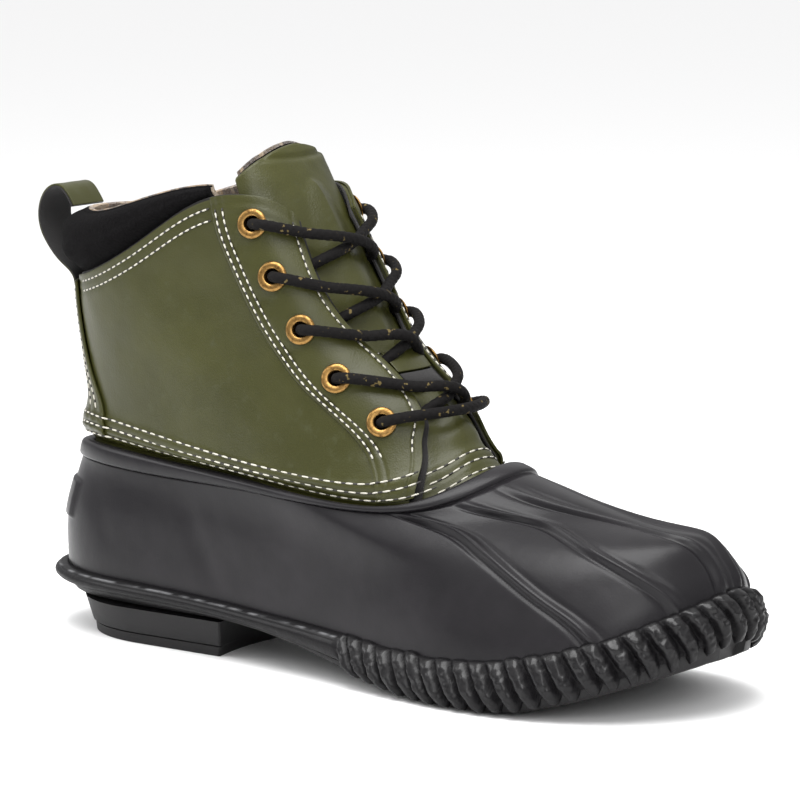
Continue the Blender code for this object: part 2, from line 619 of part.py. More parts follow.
# Collar: felt pad inside the topline, swelling out above it.
COLLAR_REACH = 2.05
COLLAR_ROWS = ((-6.0, 0.0, 2.6), (-0.6, 0.0, 3.6), (1.0, 0.05, 4.0), (0.25, 0.9, 5.5),
               (0.7, 1.0, 7.0), (0.95, 0.5, 5.5), (1.0, -0.1, 3.6))
collar_share = np.linspace(1, -1, 27)
collar_turn = np.repeat((COLLAR_REACH * collar_share)[None, :], len(COLLAR_ROWS), axis=0)
edge_x = form(collar_turn[0], level_at(collar_turn[0], topline))[:, 0]
low_z = topline(edge_x)
high_z = np.maximum(table(COLLAR_TOP, edge_x), low_z + 2.4)
tall = np.clip((high_z - low_z) / 26.5, 0, 1)
heights, outs, thick = [], [], []
for rise, bulge, depth in COLLAR_ROWS:
    above = bulge not in (0.0, 0.05)
    z = low_z + 1.4 + (high_z - low_z - 1.4) * rise if above else low_z + rise
    heights.append(z)
    outs.append(-(SHAFT_WALL + WIDE_GAP) + bulge * (1.6 + 6.0 * tall))
    thick.append(depth * (0.55 + 0.45 * tall))
collar_level = np.array([level_at(collar_turn[0], z) for z in heights])
outs, thick = np.array(outs), np.array(thick)
collar = wall("collar", form(collar_turn, collar_level, outs), form(collar_turn, collar_level, outs - thick),
              False, FELT)

# Back stay: a flared strip over the back seam, from the lip up to the topline.
STAY_HALF = ((76, 26.5), (84, 26), (91, 24.5), (100, 22), (110, 19.5), (124, 18), (140, 17.5))
STAY_THICK = 1.3
stay_level = np.concatenate([[5.24, BAND_LEVEL - 0.06, BAND_LEVEL + 0.16],
                             np.linspace(6.4, level_at(0.0, 138.6)[0], 6)])
sample = np.linspace(-1.1, 1.1, 89)
stay_turns = []
for level in stay_level:
    ring = form(sample, level)
    half = table(STAY_HALF, ring[44, 2])[0]
    stay_turns.append(np.interp(half * np.linspace(-1, 1, 11), ring[::-1, 1], sample[::-1]))
stay_turns = np.array(stay_turns)
stay_levels = np.repeat(stay_level[:, None], 11, axis=1)
stay_base = under_lip(stay_levels) + BAND_STEP * (stay_levels < BAND_LEVEL + 0.1) + 0.75
wall("back_stay", form(stay_turns, stay_levels, stay_base + STAY_THICK),
     form(stay_turns, stay_levels, stay_base), False, GREEN)

# Pull loop: a strap standing off the top of the back stay.
across = np.linspace(-LOOP_WIDTH / 2, LOOP_WIDTH / 2, 5)
path = np.array(LOOP_PATH)
knots = np.arange(len(path), dtype=float)
fine = cardinal(knots, np.linspace(0, knots[-1], 21)) @ path
heading = np.gradient(fine, axis=0)
heading /= np.linalg.norm(heading, axis=1)[:, None]
side_way = np.stack([heading[:, 1], -heading[:, 0]], axis=1)
low_grid, high_grid = [], []
for i, (point, way) in enumerate(zip(fine, side_way)):
    curl = across ** 2 / (2 * LOOP_CURL) * max(0.0, 1 - i / 7)
    for grid, shift in ((low_grid, -STRAP_THICK / 2), (high_grid, STRAP_THICK / 2)):
        at = point - way * shift
        grid.append(np.stack([at[0] + curl, across, np.full(5, at[1])], axis=1))
wall("pull_loop", np.array(high_grid), np.array(low_grid), False, GREEN)


def tube(name, path, radius, sides=8, made=None, home=None):
    """Round cord along a smooth path of points."""
    path = np.asarray(path, float)
    heading = np.gradient(path, axis=0)
    heading /= np.linalg.norm(heading, axis=1)[:, None]
    side_way = np.cross(heading, (0.0, 0.0, 1.0))
    side_way /= np.linalg.norm(side_way, axis=1)[:, None]
    up = np.cross(side_way, heading)
    rings = []
    for p, s, u in zip(path, side_way, up):
        rings.append([p + radius * (s * math.cos(a) + u * math.sin(a))
                      for a in np.linspace(0, 2 * math.pi, sides, endpoint=False)])
    return stack(name, rings, made, home)


# Laces: crossings over the tongue from the outside of one eyelet to under the other edge.
LACE_OVER = EYESTAY_STEP + 1.5 + WIDE_GAP + 0.3 + LACE_DIAMETER / 2
LACE_UNDER = 3.3


def lace_run(name, start, end, over, under, arch, made=None, home=None):
    """Cord from over one eyelet to the other end: over it, or just short of that side's edge."""
    steps = np.linspace(0, 1, 11)
    turn = start[0] + (end[0] - start[0]) * steps
    level = start[1] + (end[1] - start[1]) * steps
    out = over + (under - over) * steps + arch * np.sin(math.pi * steps)
    return tube(name, form(turn, level, out), LACE_DIAMETER / 2, 7, made, home)


for row in range(1, 5):
    cords = []
    for word, other, arch in (("near", "far", 2.0), ("far", "near", 0.4)):
        start, goal = eyelet_spots[word, row], eyelet_spots[other, row + 1]
        edge = turn_at(goal[1], EYESTAY_FRONT, -1)[0] + 0.18
        stop = (edge if other == "near" else 2 * math.pi - edge, goal[1] + 0.04)
        first = not cords
        name = "lace_%d" % row if first else "lace_%d_under" % row
        cords.append(lace_run(name, start, stop, LACE_OVER, LACE_UNDER, arch, CORD if first else None,
                              None if first else CUTTERS))
    boolean(cords[0], cords[1], "UNION")
lace_run("lace_bar", eyelet_spots["near", 5], eyelet_spots["far", 5], LACE_OVER, LACE_OVER, 2.2, CORD)
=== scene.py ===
"""Duck boot, right foot: the finish of every piece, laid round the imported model."""
import functools
import math

import bpy
import numpy as np
from mathutils import Matrix, Vector, kdtree, noise


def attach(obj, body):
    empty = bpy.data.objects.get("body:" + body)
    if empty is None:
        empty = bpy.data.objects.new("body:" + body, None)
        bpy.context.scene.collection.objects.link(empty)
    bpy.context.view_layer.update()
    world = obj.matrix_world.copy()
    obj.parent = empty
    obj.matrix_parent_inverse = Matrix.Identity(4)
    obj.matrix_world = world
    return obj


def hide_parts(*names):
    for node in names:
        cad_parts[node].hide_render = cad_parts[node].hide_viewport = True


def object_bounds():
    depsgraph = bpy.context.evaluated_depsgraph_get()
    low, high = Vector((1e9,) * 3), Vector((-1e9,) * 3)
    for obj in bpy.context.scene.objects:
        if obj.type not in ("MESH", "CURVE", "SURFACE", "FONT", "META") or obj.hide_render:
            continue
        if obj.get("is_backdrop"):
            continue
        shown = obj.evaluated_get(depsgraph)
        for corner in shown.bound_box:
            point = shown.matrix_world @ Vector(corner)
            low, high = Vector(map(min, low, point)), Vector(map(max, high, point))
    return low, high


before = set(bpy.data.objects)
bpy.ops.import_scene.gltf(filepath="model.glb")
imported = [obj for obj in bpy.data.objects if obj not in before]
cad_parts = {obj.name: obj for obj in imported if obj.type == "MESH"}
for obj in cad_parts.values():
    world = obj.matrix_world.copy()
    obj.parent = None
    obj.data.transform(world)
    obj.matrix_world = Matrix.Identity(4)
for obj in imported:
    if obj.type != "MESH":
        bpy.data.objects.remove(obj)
cad_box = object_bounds()

# Camera: low on the outer side, ahead of the heel, through a long lens. AIM lies at AIM_PIXEL in the
# photograph, and the camera looks at the point that lies at its middle.
PHOTO_SIZE = 800
PHOTO_AZIMUTH = math.radians(37.0)
PHOTO_RISE = math.radians(9.0)
CAMERA_REACH = 1.7
FOCAL_PIXELS = 4471.0
SENSOR_WIDTH = 36.0
AIM = Vector((0.100, 0.0, 0.095))
AIM_PIXEL = (398.0, 420.0)

towards_camera = Vector((math.sin(PHOTO_AZIMUTH) * math.cos(PHOTO_RISE),
                         -math.cos(PHOTO_AZIMUTH) * math.cos(PHOTO_RISE), math.sin(PHOTO_RISE)))
camera_right = Vector((math.cos(PHOTO_AZIMUTH), math.sin(PHOTO_AZIMUTH), 0.0))
camera_up = towards_camera.cross(camera_right)
pixel = CAMERA_REACH / FOCAL_PIXELS
look_at = AIM + camera_right * (PHOTO_SIZE / 2 - AIM_PIXEL[0]) * pixel
look_at += camera_up * (AIM_PIXEL[1] - PHOTO_SIZE / 2) * pixel
bpy.ops.object.camera_add(location=look_at + towards_camera * CAMERA_REACH)
camera = bpy.context.object
camera.rotation_euler = Matrix((camera_right, camera_up, towards_camera)).transposed().to_euler()
camera.data.sensor_width = SENSOR_WIDTH
camera.data.lens = FOCAL_PIXELS / PHOTO_SIZE * SENSOR_WIDTH
camera.data.clip_start = 0.1
camera.data.clip_end = 20.0
bpy.context.scene.camera = camera
bpy.context.scene.view_settings.view_transform = "Standard"


class Wire:
    """A node's output, whose sums and products add Math nodes to the material."""

    def __init__(self, finish, socket):
        self.finish = finish
        self.socket = socket

    def maths(self, operation, *values):
        return self.finish.add("ShaderNodeMath", {"operation": operation}, dict(enumerate(values)))

    def __add__(self, other):
        return self.maths("ADD", self, other)

    def __mul__(self, other):
        return self.maths("MULTIPLY", self, other)

    __radd__ = __add__
    __rmul__ = __mul__

    def step(self, low, high):
        """Smooth rise from 0 at low to 1 at high."""
        return self.finish.add("ShaderNodeMapRange", {"interpolation_type": "SMOOTHSTEP"},
                               {"Value": self, "From Min": low, "From Max": high})


class Finish:
    """A material: a Principled shader, and the nodes that vary it over the surface."""

    def __init__(self, name, colour, roughness, **fixed):
        self.material = bpy.data.materials.new(name)
        self.material.use_nodes = True
        self.tree = self.material.node_tree
        self.shader = self.tree.nodes["Principled BSDF"]
        self.put(self.shader, {"Base Color": (*colour, 1.0), "Roughness": roughness})
        fixed = {name.replace("_", " ").title().replace("Ior", "IOR"): value for name, value in fixed.items()}
        self.put(self.shader, fixed)

    def put(self, node, inputs):
        for key, value in inputs.items():
            socket = node.inputs[key]
            if isinstance(value, Wire):
                self.tree.links.new(value.socket, socket)
            elif hasattr(value, "__len__") and len(value) == 3 and socket.type == "RGBA":
                socket.default_value = (*value, 1.0)
            else:
                socket.default_value = value

    def add(self, kind, settings=None, inputs=None, output=0):
        """Adds a node: its settings first, then the values or links of its sockets."""
        node = self.tree.nodes.new(kind)
        for key, value in (settings or {}).items():
            setattr(node, key, value)
        self.put(node, inputs or {})
        return Wire(self, node.outputs[output])

    def place(self):
        """A point of the piece, in metres from the frame's origin."""
        return self.add("ShaderNodeTexCoord", output="Object")

    def sewn(self):
        """The piece's own UV map, in metres along and across it."""
        return self.add("ShaderNodeTexCoord", output="UV")

    def value(self, name):
        """A number that the piece's mesh holds at each vertex."""
        return self.add("ShaderNodeAttribute", {"attribute_name": name}, output="Fac")

    def noise(self, scale, detail=3.0, roughness=0.55):
        return self.add("ShaderNodeTexNoise", None, {"Vector": self.place(), "Scale": scale,
                                                     "Detail": detail, "Roughness": roughness})

    def cells(self, scale, feature="F1"):
        return self.add("ShaderNodeTexVoronoi", {"feature": feature},
                        {"Vector": self.place(), "Scale": scale}, "Distance")

    def mix(self, share, low, high):
        """Colour from low to high by share."""
        return self.add("ShaderNodeMix", {"data_type": "RGBA"}, {0: share, 6: low, 7: high}, output=2)

    def paint(self, colour=None, roughness=None, coat=None):
        for name, value in (("Base Color", colour), ("Roughness", roughness), ("Coat Weight", coat)):
            if value is not None:
                self.put(self.shader, {name: value})

    def bump(self, *layers):
        """Stacks bumps, each a height, its depth in metres and its strength."""
        normal = None
        for height, depth, strength in layers:
            inputs = {"Height": height, "Distance": depth, "Strength": strength}
            if normal is not None:
                inputs["Normal"] = normal
            normal = self.add("ShaderNodeBump", None, inputs)
        self.put(self.shader, {"Normal": normal})


# Studio: a pale floor under a sky that is bright above and dim at its edge, with one wide soft box
# overhead and two smaller ones at the sides.
FLOOR_COLOUR = (0.93, 0.93, 0.93)
SOFT_BOXES = (("overhead", (0.22, -0.30, 1.00), (0.14, 0.0, 0.05), 0.80, 17.0),
              ("front", (1.05, -1.05, 0.75), (0.14, 0.0, 0.08), 0.70, 6.5),
              ("rear", (-0.85, -0.55, 0.70), (0.0, 0.0, 0.10), 0.60, 4.5))
SKY_LOW = (0.30, 0.30, 0.31)
SKY_HIGH = (1.06, 1.06, 1.06)

bpy.ops.mesh.primitive_plane_add(size=8.0)
floor = bpy.context.object
floor.name = "floor"
paper = Finish("floor_paper", FLOOR_COLOUR, 0.85)
floor.data.materials.append(paper.material)
floor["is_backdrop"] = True
for name, spot_at, aim_at, size, power in SOFT_BOXES:
    bpy.ops.object.light_add(type="AREA", location=spot_at)
    lamp = bpy.context.object
    lamp.name = "soft_box_" + name
    lamp.data.shape = "SQUARE"
    lamp.data.size = size
    lamp.data.energy = power
    lamp.rotation_euler = (Vector(spot_at) - Vector(aim_at)).to_track_quat("Z", "Y").to_euler()
world = bpy.data.worlds.new("white_sky")
world.use_nodes = True
sky = world.node_tree.nodes
facing = sky.new("ShaderNodeTexCoord")
height = sky.new("ShaderNodeSeparateXYZ")
fade = sky.new("ShaderNodeMapRange")
fade.interpolation_type = "SMOOTHSTEP"
fade.inputs["From Min"].default_value = -0.05
fade.inputs["From Max"].default_value = 0.62
shade = sky.new("ShaderNodeMix")
shade.data_type = "RGBA"
shade.inputs[6].default_value = (*SKY_LOW, 1.0)
shade.inputs[7].default_value = (*SKY_HIGH, 1.0)
for start, end in ((facing.outputs["Generated"], height.inputs[0]), (height.outputs["Z"], fade.inputs[0]),
                   (fade.outputs[0], shade.inputs[0]), (shade.outputs[2], sky["Background"].inputs["Color"])):
    world.node_tree.links.new(start, end)
bpy.context.scene.world = world

# Last: the form that every piece of the boot is laid on, in millimetres. Closed rings go from the sole
# edge to the tongue top. Each runs from back_x to front_x, with its height at seven stations and half
# its width at five.
MM = 0.001
STATIONS = (0.0, 0.1, 0.3, 0.5, 0.7, 0.9, 1.0)
LEVEL_COLUMNS = ("name", "back_x", "front_x", "z", "half", "skew")
LEVELS = (
    ("sole_edge", -58.5, 247.5, (23.5, 23, 21.6, 16.8, 13.0, 24.0, 41), (31, 35.5, 41, 49.5, 39.5), 1.0),
    ("shell_1", -59.0, 245.5, (32, 31.5, 29.5, 26, 23.5, 35, 50), (31, 35.5, 40.5, 48.5, 38.5), 1.0),
    ("shell_2", -59.5, 241.5, (43, 42.5, 40, 36.5, 35, 46.5, 58), (30, 35, 39.5, 46.5, 34.5), 0.8),
    ("shell_3", -57.5, 233.5, (54, 53.5, 50.5, 47.5, 48.5, 59.5, 65), (28.5, 34.5, 38.5, 43.5, 27), 0.5),
    ("shell_4", -53.5, 206.0, (66, 65, 61, 59, 58.5, 66.5, 68.5), (26, 33.5, 37.5, 41.5, 19), 0.2),
    ("lip", -50.0, 150.0, (75, 76.5, 74.5, 72.3, 69.5, 71.0, 83.0), (24.5, 32.5, 37, 39, 32.5), 0.0),
    ("vamp", -48.0, 135.0, (88, 87.5, 84, 82.5, 83.5, 88, 93), (23, 32.5, 36.5, 37, 27.5), 0.0),
    ("ankle", -47.5, 125.0, (98, 98, 98.5, 100, 101.5, 103, 104), (22.5, 32.5, 36, 35, 26.0), 0.0),
    ("shaft_1", -50.5, 101.5, (120, 120, 120.5, 121, 122, 123, 123), (22.5, 32.5, 35, 34, 27.5), 0.0),
    ("shaft_2", -52.5, 87.0, (141, 141, 141, 141.5, 142, 142, 142), (22.5, 32.5, 34, 33.5, 29.0), 0.0),
    ("shaft_3", -53.0, 73.0, (160, 160.5, 161.5, 163, 164.5, 165, 165), (22, 32, 33.5, 33, 28.5), 0.0),
    ("shaft_4", -53.0, 60.5, (175, 176, 179, 182.5, 186, 187, 187), (21.5, 31, 32.5, 32, 27), 0.0),
    ("top", -53.0, 50.5, (191, 192, 196, 201, 203, 203, 203), (21, 30, 31.5, 31, 26), 0.0),
)
MEDIAL_SHIFT = (-1.0, -4.0, -5.0, 1.5, 7.0)
TIP_SHIFT = 8.0
FRONT = math.pi
TURN = 2 * math.pi
TOP_LEVEL = len(LEVELS) - 1.0
LIP_LEVEL = 5.0


@functools.lru_cache(maxsize=None)
def spline_frame(knots, period):
    """Ends, steps, unit values and bends of the cubic spline on these knots."""
    knots = np.asarray(knots, float)
    count = len(knots)
    if period is None:
        ends = knots
        eye = np.eye(count)
    else:
        ends = np.append(knots, knots[0] + period)
        eye = np.vstack([np.eye(count), np.eye(count)[:1]])
    step = np.diff(ends)
    slope = np.diff(eye, axis=0) / step[:, None]
    matrix = np.zeros((count, count))
    right = np.zeros((count, count))
    for i in range(count):
        if period is None and i in (0, count - 1):
            matrix[i, i] = 1.0
            continue
        back, ahead = step[i - 1], step[i]
        matrix[i, i - 1] += back
        matrix[i, i] += 2 * (back + ahead)
        matrix[i, (i + 1) % count] += ahead
        right[i] = 6 * (slope[i] - slope[i - 1])
    bend = np.linalg.solve(matrix, right)
    if period is not None:
        bend = np.vstack([bend, bend[:1]])
    return ends, step, eye, bend


def cardinal(knots, at, period=None):
    """Cubic spline basis: one row of weights for each place in `at`."""
    ends, step, eye, bend = spline_frame(tuple(float(k) for k in knots), period)
    at = np.asarray(at, float)
    if period is not None:
        at = (at - ends[0]) % period + ends[0]
    cell = np.clip(np.searchsorted(ends, at, side="right") - 1, 0, len(step) - 1)
    width = step[cell][:, None]
    t = (at - ends[cell])[:, None] / width
    line = eye[cell] * (1 - t) + eye[cell + 1] * t
    low = ((1 - t) ** 3 - (1 - t)) * bend[cell]
    high = (t ** 3 - t) * bend[cell + 1]
    return line + width ** 2 / 6 * (low + high)


def control_net():
    """Angles of the ring stations and their positions on every level."""
    half_turn = [math.acos(1 - 2 * f) for f in STATIONS]
    angles = half_turn + [TURN - a for a in half_turn[-2:0:-1]]
    net = []
    for row in LEVELS:
        level = dict(zip(LEVEL_COLUMNS, row))
        span = level["front_x"] - level["back_x"]
        x = [level["back_x"] + span * f for f in STATIONS]
        near = [0.0] + [-h for h in level["half"]] + [TIP_SHIFT * level["skew"]]
        far = [h + s * level["skew"] for h, s in zip(level["half"], MEDIAL_SHIFT)]
        ring = list(zip(x, near, level["z"]))
        ring += list(zip(x[-2:0:-1], far[::-1], level["z"][-2:0:-1]))
        net.append(ring)
    return np.array(angles), np.array(net, float)


ANGLES, NET = control_net()


def form(turn, level, out=0.0):
    """Points of the last at ring angle `turn` and height `level`, moved `out` along the normal."""
    turn, level, out = np.broadcast_arrays(np.asarray(turn, float), level, out)

    def at(a, v):
        around = cardinal(ANGLES, a, TURN)
        upward = cardinal(np.arange(len(LEVELS)), v)
        return np.einsum("nlc,nl->nc", np.einsum("lkc,nk->nlc", NET, around, optimize=True), upward)

    a, v = turn.ravel(), level.ravel()
    point = at(a, v)
    along = at(a + 0.01, v) - at(a - 0.01, v)
    up = at(a, v + 0.02) - at(a, v - 0.02)
    normal = np.cross(along, up)
    normal /= np.linalg.norm(normal, axis=1)[:, None]
    return (point + normal * out.ravel()[:, None]).reshape(turn.shape + (3,))


def table(rows, at):
    """Smooth value between the rows of a two-column table."""
    rows = np.asarray(rows, float)
    at = np.clip(at, rows[0, 0], rows[-1, 0])
    return (cardinal(rows[:, 0], np.ravel(at)) @ rows[:, 1]).reshape(np.shape(at))


def level_at(turn, height):
    """Level at which the last reaches a height; `height` is a number or a function of x."""
    turn = np.atleast_1d(np.asarray(turn, float))
    low = np.zeros(len(turn))
    high = np.full(len(turn), TOP_LEVEL)
    for _ in range(24):
        mid = (low + high) / 2
        p = form(turn, mid)
        over = p[:, 2] > (height(p[:, 0]) if callable(height) else height)
        high = np.where(over, mid, high)
        low = np.where(over, low, mid)
    return (low + high) / 2


def turn_at(level, line):
    """Ring angle on the near side where a level's x meets a side-view line of z and x."""
    level = np.atleast_1d(np.asarray(level, float))
    low = np.full(len(level), 0.3)
    high = np.full(len(level), FRONT)
    for _ in range(24):
        mid = (low + high) / 2
        p = form(mid, level)
        over = p[:, 0] > table(line, p[:, 2])
        high = np.where(over, mid, high)
        low = np.where(over, low, mid)
    return (low + high) / 2


def spot(x, z, far=False):
    """Ring angle and level of the last's point at a given x and z on one side."""
    turn, level = np.array([1.8]), np.array([8.0])
    for _ in range(8):
        level = level_at(TURN - turn if far else turn, z)
        low, high = 0.3, FRONT
        for _ in range(20):
            mid = (low + high) / 2
            p = form(np.array([TURN - mid if far else mid]), level)
            low, high = (low, mid) if p[0, 0] > x else (mid, high)
        turn = np.array([(low + high) / 2])
    return (TURN - turn[0] if far else turn[0]), level[0]


def below_lip(turn, depth):
    """Level at a distance below the shell lip's top edge, measured along the last."""
    turn = np.asarray(turn, float)
    pace = np.linalg.norm(form(turn, LIP_LEVEL) - form(turn, LIP_LEVEL - 0.1), axis=-1) / 0.1
    return LIP_LEVEL - depth / pace


def ease(low, high, at):
    """Smooth rise from 0 at low to 1 at high."""
    t = np.clip((np.asarray(at, float) - low) / (high - low), 0, 1)
    return t * t * (3 - 2 * t)


def ridge(at, half):
    """Soft ridge of height 1 at zero, about `half` wide to each side."""
    return np.exp(-(np.asarray(at) / half) ** 2)


def rough(points, scale, seed=0.0):
    """Smooth noise from -1 to 1 at each point in millimetres, on lumps about `scale` across."""
    flat = np.asarray(points, float).reshape(-1, 3) / scale + seed
    made = np.array([noise.noise(Vector(p)) for p in flat])
    return made.reshape(np.shape(points)[:-1])


def grid(name, points, material, ring=False, tube=False):
    """A grid primitive bent to rows by columns of points; it may close along columns and rows.

    Its UV map holds the distance along the columns and the rows, in metres."""
    points = np.asarray(points, float)
    if ring:
        points = np.concatenate([points, points[:, :1]], axis=1)
    if tube:
        points = np.concatenate([points, points[:1]], axis=0)
    rows, columns = points.shape[:2]
    bpy.ops.object.select_all(action="DESELECT")
    bpy.ops.mesh.primitive_grid_add(x_subdivisions=columns - 1, y_subdivisions=rows - 1, size=1.0)
    ob = bpy.context.object
    ob.name = name
    ob.data.name = name
    ob.data.vertices.foreach_set("co", (points * MM).ravel())
    along = np.zeros((rows, columns))
    along[:, 1:] = np.cumsum(np.linalg.norm(np.diff(points, axis=1), axis=2), axis=1)
    along = np.tile(along.mean(axis=0), (rows, 1))
    up = np.zeros((rows, columns))
    up[1:] = np.cumsum(np.linalg.norm(np.diff(points, axis=0), axis=2), axis=0)
    corner = np.zeros(len(ob.data.loops), dtype=np.int32)
    ob.data.loops.foreach_get("vertex_index", corner)
    sewn = np.stack([along.ravel()[corner], up.ravel()[corner]], axis=1) * MM
    ob.data.uv_layers.active.data.foreach_set("uv", sewn.ravel())
    if ring or tube:
        bpy.ops.object.mode_set(mode="EDIT")
        bpy.ops.mesh.select_all(action="SELECT")
        bpy.ops.mesh.remove_doubles(threshold=1e-6)
        bpy.ops.object.mode_set(mode="OBJECT")
    bpy.ops.object.shade_smooth()
    ob.data.materials.append(material)
    return ob


def outward(ob, towards):
    """Turns the piece's faces over if they look away from what `towards` gives for a face's centre."""
    face = ob.data.polygons[len(ob.data.polygons) // 2]
    if face.normal.dot(Vector(towards)) < 0:
        ob.data.flip_normals()


def keep(ob, slot, *nodes):
    """The piece rides on the one body and stands for CAD nodes, which it hides; its `slot` is not used."""
    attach(ob, "root")
    if nodes:
        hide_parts(*nodes)
    return ob


def give_wall(ob, thick, rim=0.0):
    """Gives a sheet its thickness inwards, with rounded rims."""
    bpy.context.view_layer.objects.active = ob
    solid = ob.modifiers.new("wall", "SOLIDIFY")
    solid.thickness = thick * MM
    solid.offset = -1.0
    if rim:
        round_off = ob.modifiers.new("rim", "BEVEL")
        round_off.width = rim * MM
        round_off.segments = 2
        round_off.limit_method = "ANGLE"
        round_off.angle_limit = math.radians(50)
    for step in list(ob.modifiers):
        bpy.ops.object.modifier_apply(modifier=step.name)


# Lace: one round braided cord. It lies outside over the lowest eyelets, then each half goes in at an
# eyelet, under that eyestay's edge, across the tongue and into the next eyelet up on the other side.
# Its ends stop inside the top eyelets.
LACE_RADIUS = 2.1
LACE_LIFT = 4.9
LACE_DIVE = -4.5
UPPER_CROSSING = 5.6
LOWER_CROSSING = 1.3
KEEPER_LIFT = 1.2
STRAND_PITCH = 6.4
EYELETS = ((54.2, 169.5), (64.5, 150.3), (76.9, 131.0), (92.8, 113.5), (112.0, 98.4))
EYESTAY_FRONT = ((70, 128.5), (80, 128.0), (86, 126.5), (92, 124.5), (98, 123.5), (105, 118.5), (113, 110.0),
                 (126, 94.5), (145, 79.0), (160, 70.5), (173, 64.2), (184, 60.0))
eyelet_spots = {}
for row, (x, z) in enumerate(EYELETS, 1):
    for far in (False, True):
        eyelet_spots[far, row] = spot(x, z, far)


def run_along(line):
    """Distance in millimetres from the start of a line to each of its points."""
    return np.concatenate([[0], np.cumsum(np.linalg.norm(np.diff(line, axis=0), axis=1))])


def crossing(start, end, crown):
    """Lace points from above one eyelet to below another: turn, level and height over the last."""
    shares = np.linspace(0, 1, 161)
    turn = start[0] + (end[0] - start[0]) * shares
    level = start[1] + (end[1] - start[1]) * shares
    run = run_along(form(turn, level))
    inner = FRONT - np.abs(turn - FRONT) > turn_at(level, EYESTAY_FRONT)
    first, last = run[inner][0], run[inner][-1]
    rises = ((0.0, 1.0), (2.4, 3.9), (6.0, LACE_LIFT), (first - 1.0, 3.9), (first + 5.0, crown * 0.6 + 1.0),
             ((first + last) / 2, crown), (last - 6.0, 0.7), (last - 1.0, -2.6), (last + 3.5, LACE_DIVE),
             (run[-1] - 1.6, LACE_DIVE), (run[-1], -2.2))
    rises = [r for i, r in enumerate(rises) if i == 0 or r[0] > rises[i - 1][0] + 0.4]
    return [(np.interp(at, run, turn), np.interp(at, run, level), rise) for at, rise in rises]


def lace_half(far):
    """From inside the lowest eyelet on one side up to the hidden end at the top."""
    points = []
    for row in range(5, 1, -1):
        upper = eyelet_spots[not far, row - 1]
        crown = (UPPER_CROSSING if far else LOWER_CROSSING) + (KEEPER_LIFT if row == 4 else 0.0)
        points += crossing(upper, eyelet_spots[far, row], crown)[::-1]
        far = not far
    turn, level = eyelet_spots[far, 1]
    return points + [(turn, level, -3.2), (turn, level - 0.12, -4.8), (turn, level - 0.4, -5.0)]


def lace_bar():
    """The straight run outside, from one lowest eyelet to the other."""
    near, far = eyelet_spots[False, 5], eyelet_spots[True, 5]
    turns = np.linspace(near[0], far[0], 9)
    lifts = (1.0, LACE_LIFT + 0.3, 4.4, 4.0, 3.8, 4.0, 4.4, LACE_LIFT + 0.3, 1.0)
    return [(t, near[1], lift) for t, lift in zip(turns, lifts)]


# Each half ends at the top eyelet of the side it starts on. The crossings that come down from the near
# side to the far side lie on top of the others.
lace_route = lace_half(True)[::-1] + lace_bar()[::-1] + lace_half(False)
lace_turn, lace_level, lace_out = (np.array(column) for column in zip(*lace_route))
lace_knots = form(lace_turn, lace_level, lace_out)
lace_knots = lace_knots[np.append(True, np.linalg.norm(np.diff(lace_knots, axis=0), axis=1) > 0.5)]


def smooth_line(knots, spacing, loose=0.5):
    """A smooth line through points, sampled every `spacing`; loose is the spline's knot power."""
    chord = np.linalg.norm(np.diff(knots, axis=0), axis=1) ** loose
    at = np.concatenate([[0], np.cumsum(chord)])
    fine = cardinal(at, np.linspace(0, at[-1], 40 * len(knots))) @ knots
    run = run_along(fine)
    places = np.linspace(0, run[-1], int(run[-1] / spacing) + 1)
    return np.stack([np.interp(places, run, fine[:, i]) for i in range(3)], axis=1), run[-1]


def tube(name, line, radius, sides, material, relief=None):
    """Round cord along a line; relief(run, around) is added to its radius."""
    heading = np.gradient(line, axis=0)
    heading /= np.linalg.norm(heading, axis=1)[:, None]
    side = np.cross(heading[0], (0.0, 0.0, 1.0))
    rows = []
    run = run_along(line)
    around = np.linspace(0, TURN, sides, endpoint=False)
    for point, way, at in zip(line, heading, run):
        side = side - way * side.dot(way)
        side /= np.linalg.norm(side)
        up = np.cross(way, side)
        size = radius + (relief(at, around) if relief else 0) if 0 < at < run[-1] else 0 * around
        rows.append(point + (np.cos(around) * size)[:, None] * side + (np.sin(around) * size)[:, None] * up)
    return grid(name, np.array(rows), material, ring=True)


def braid(run, around):
    """Two sets of strands wound opposite ways round a lace."""
    left = np.abs(np.sin(2 * around + math.pi * run / STRAND_PITCH * 2))
    right = np.abs(np.sin(2 * around - math.pi * run / STRAND_PITCH * 2))
    return 0.42 * np.maximum(left, right) - 0.36


lace_line, lace_length = smooth_line(lace_knots, 0.55)
braided = Finish("braided_cord", (0.012, 0.011, 0.011), 0.7, sheen_weight=0.01, specular_ior_level=0.05)
fleck = braided.noise(330, 2.0).step(0.645, 0.69)
braided.paint(colour=braided.mix(fleck, (0.007, 0.0064, 0.0064), (0.10, 0.075, 0.03)))
braided.bump((braided.noise(2600, 2.0), 0.0002, 0.5))
lace = tube("lace", lace_line, LACE_RADIUS, 20, braided.material, braid)
keep(lace, "lace_cord", "lace_1", "lace_2", "lace_3", "lace_4", "lace_bar")

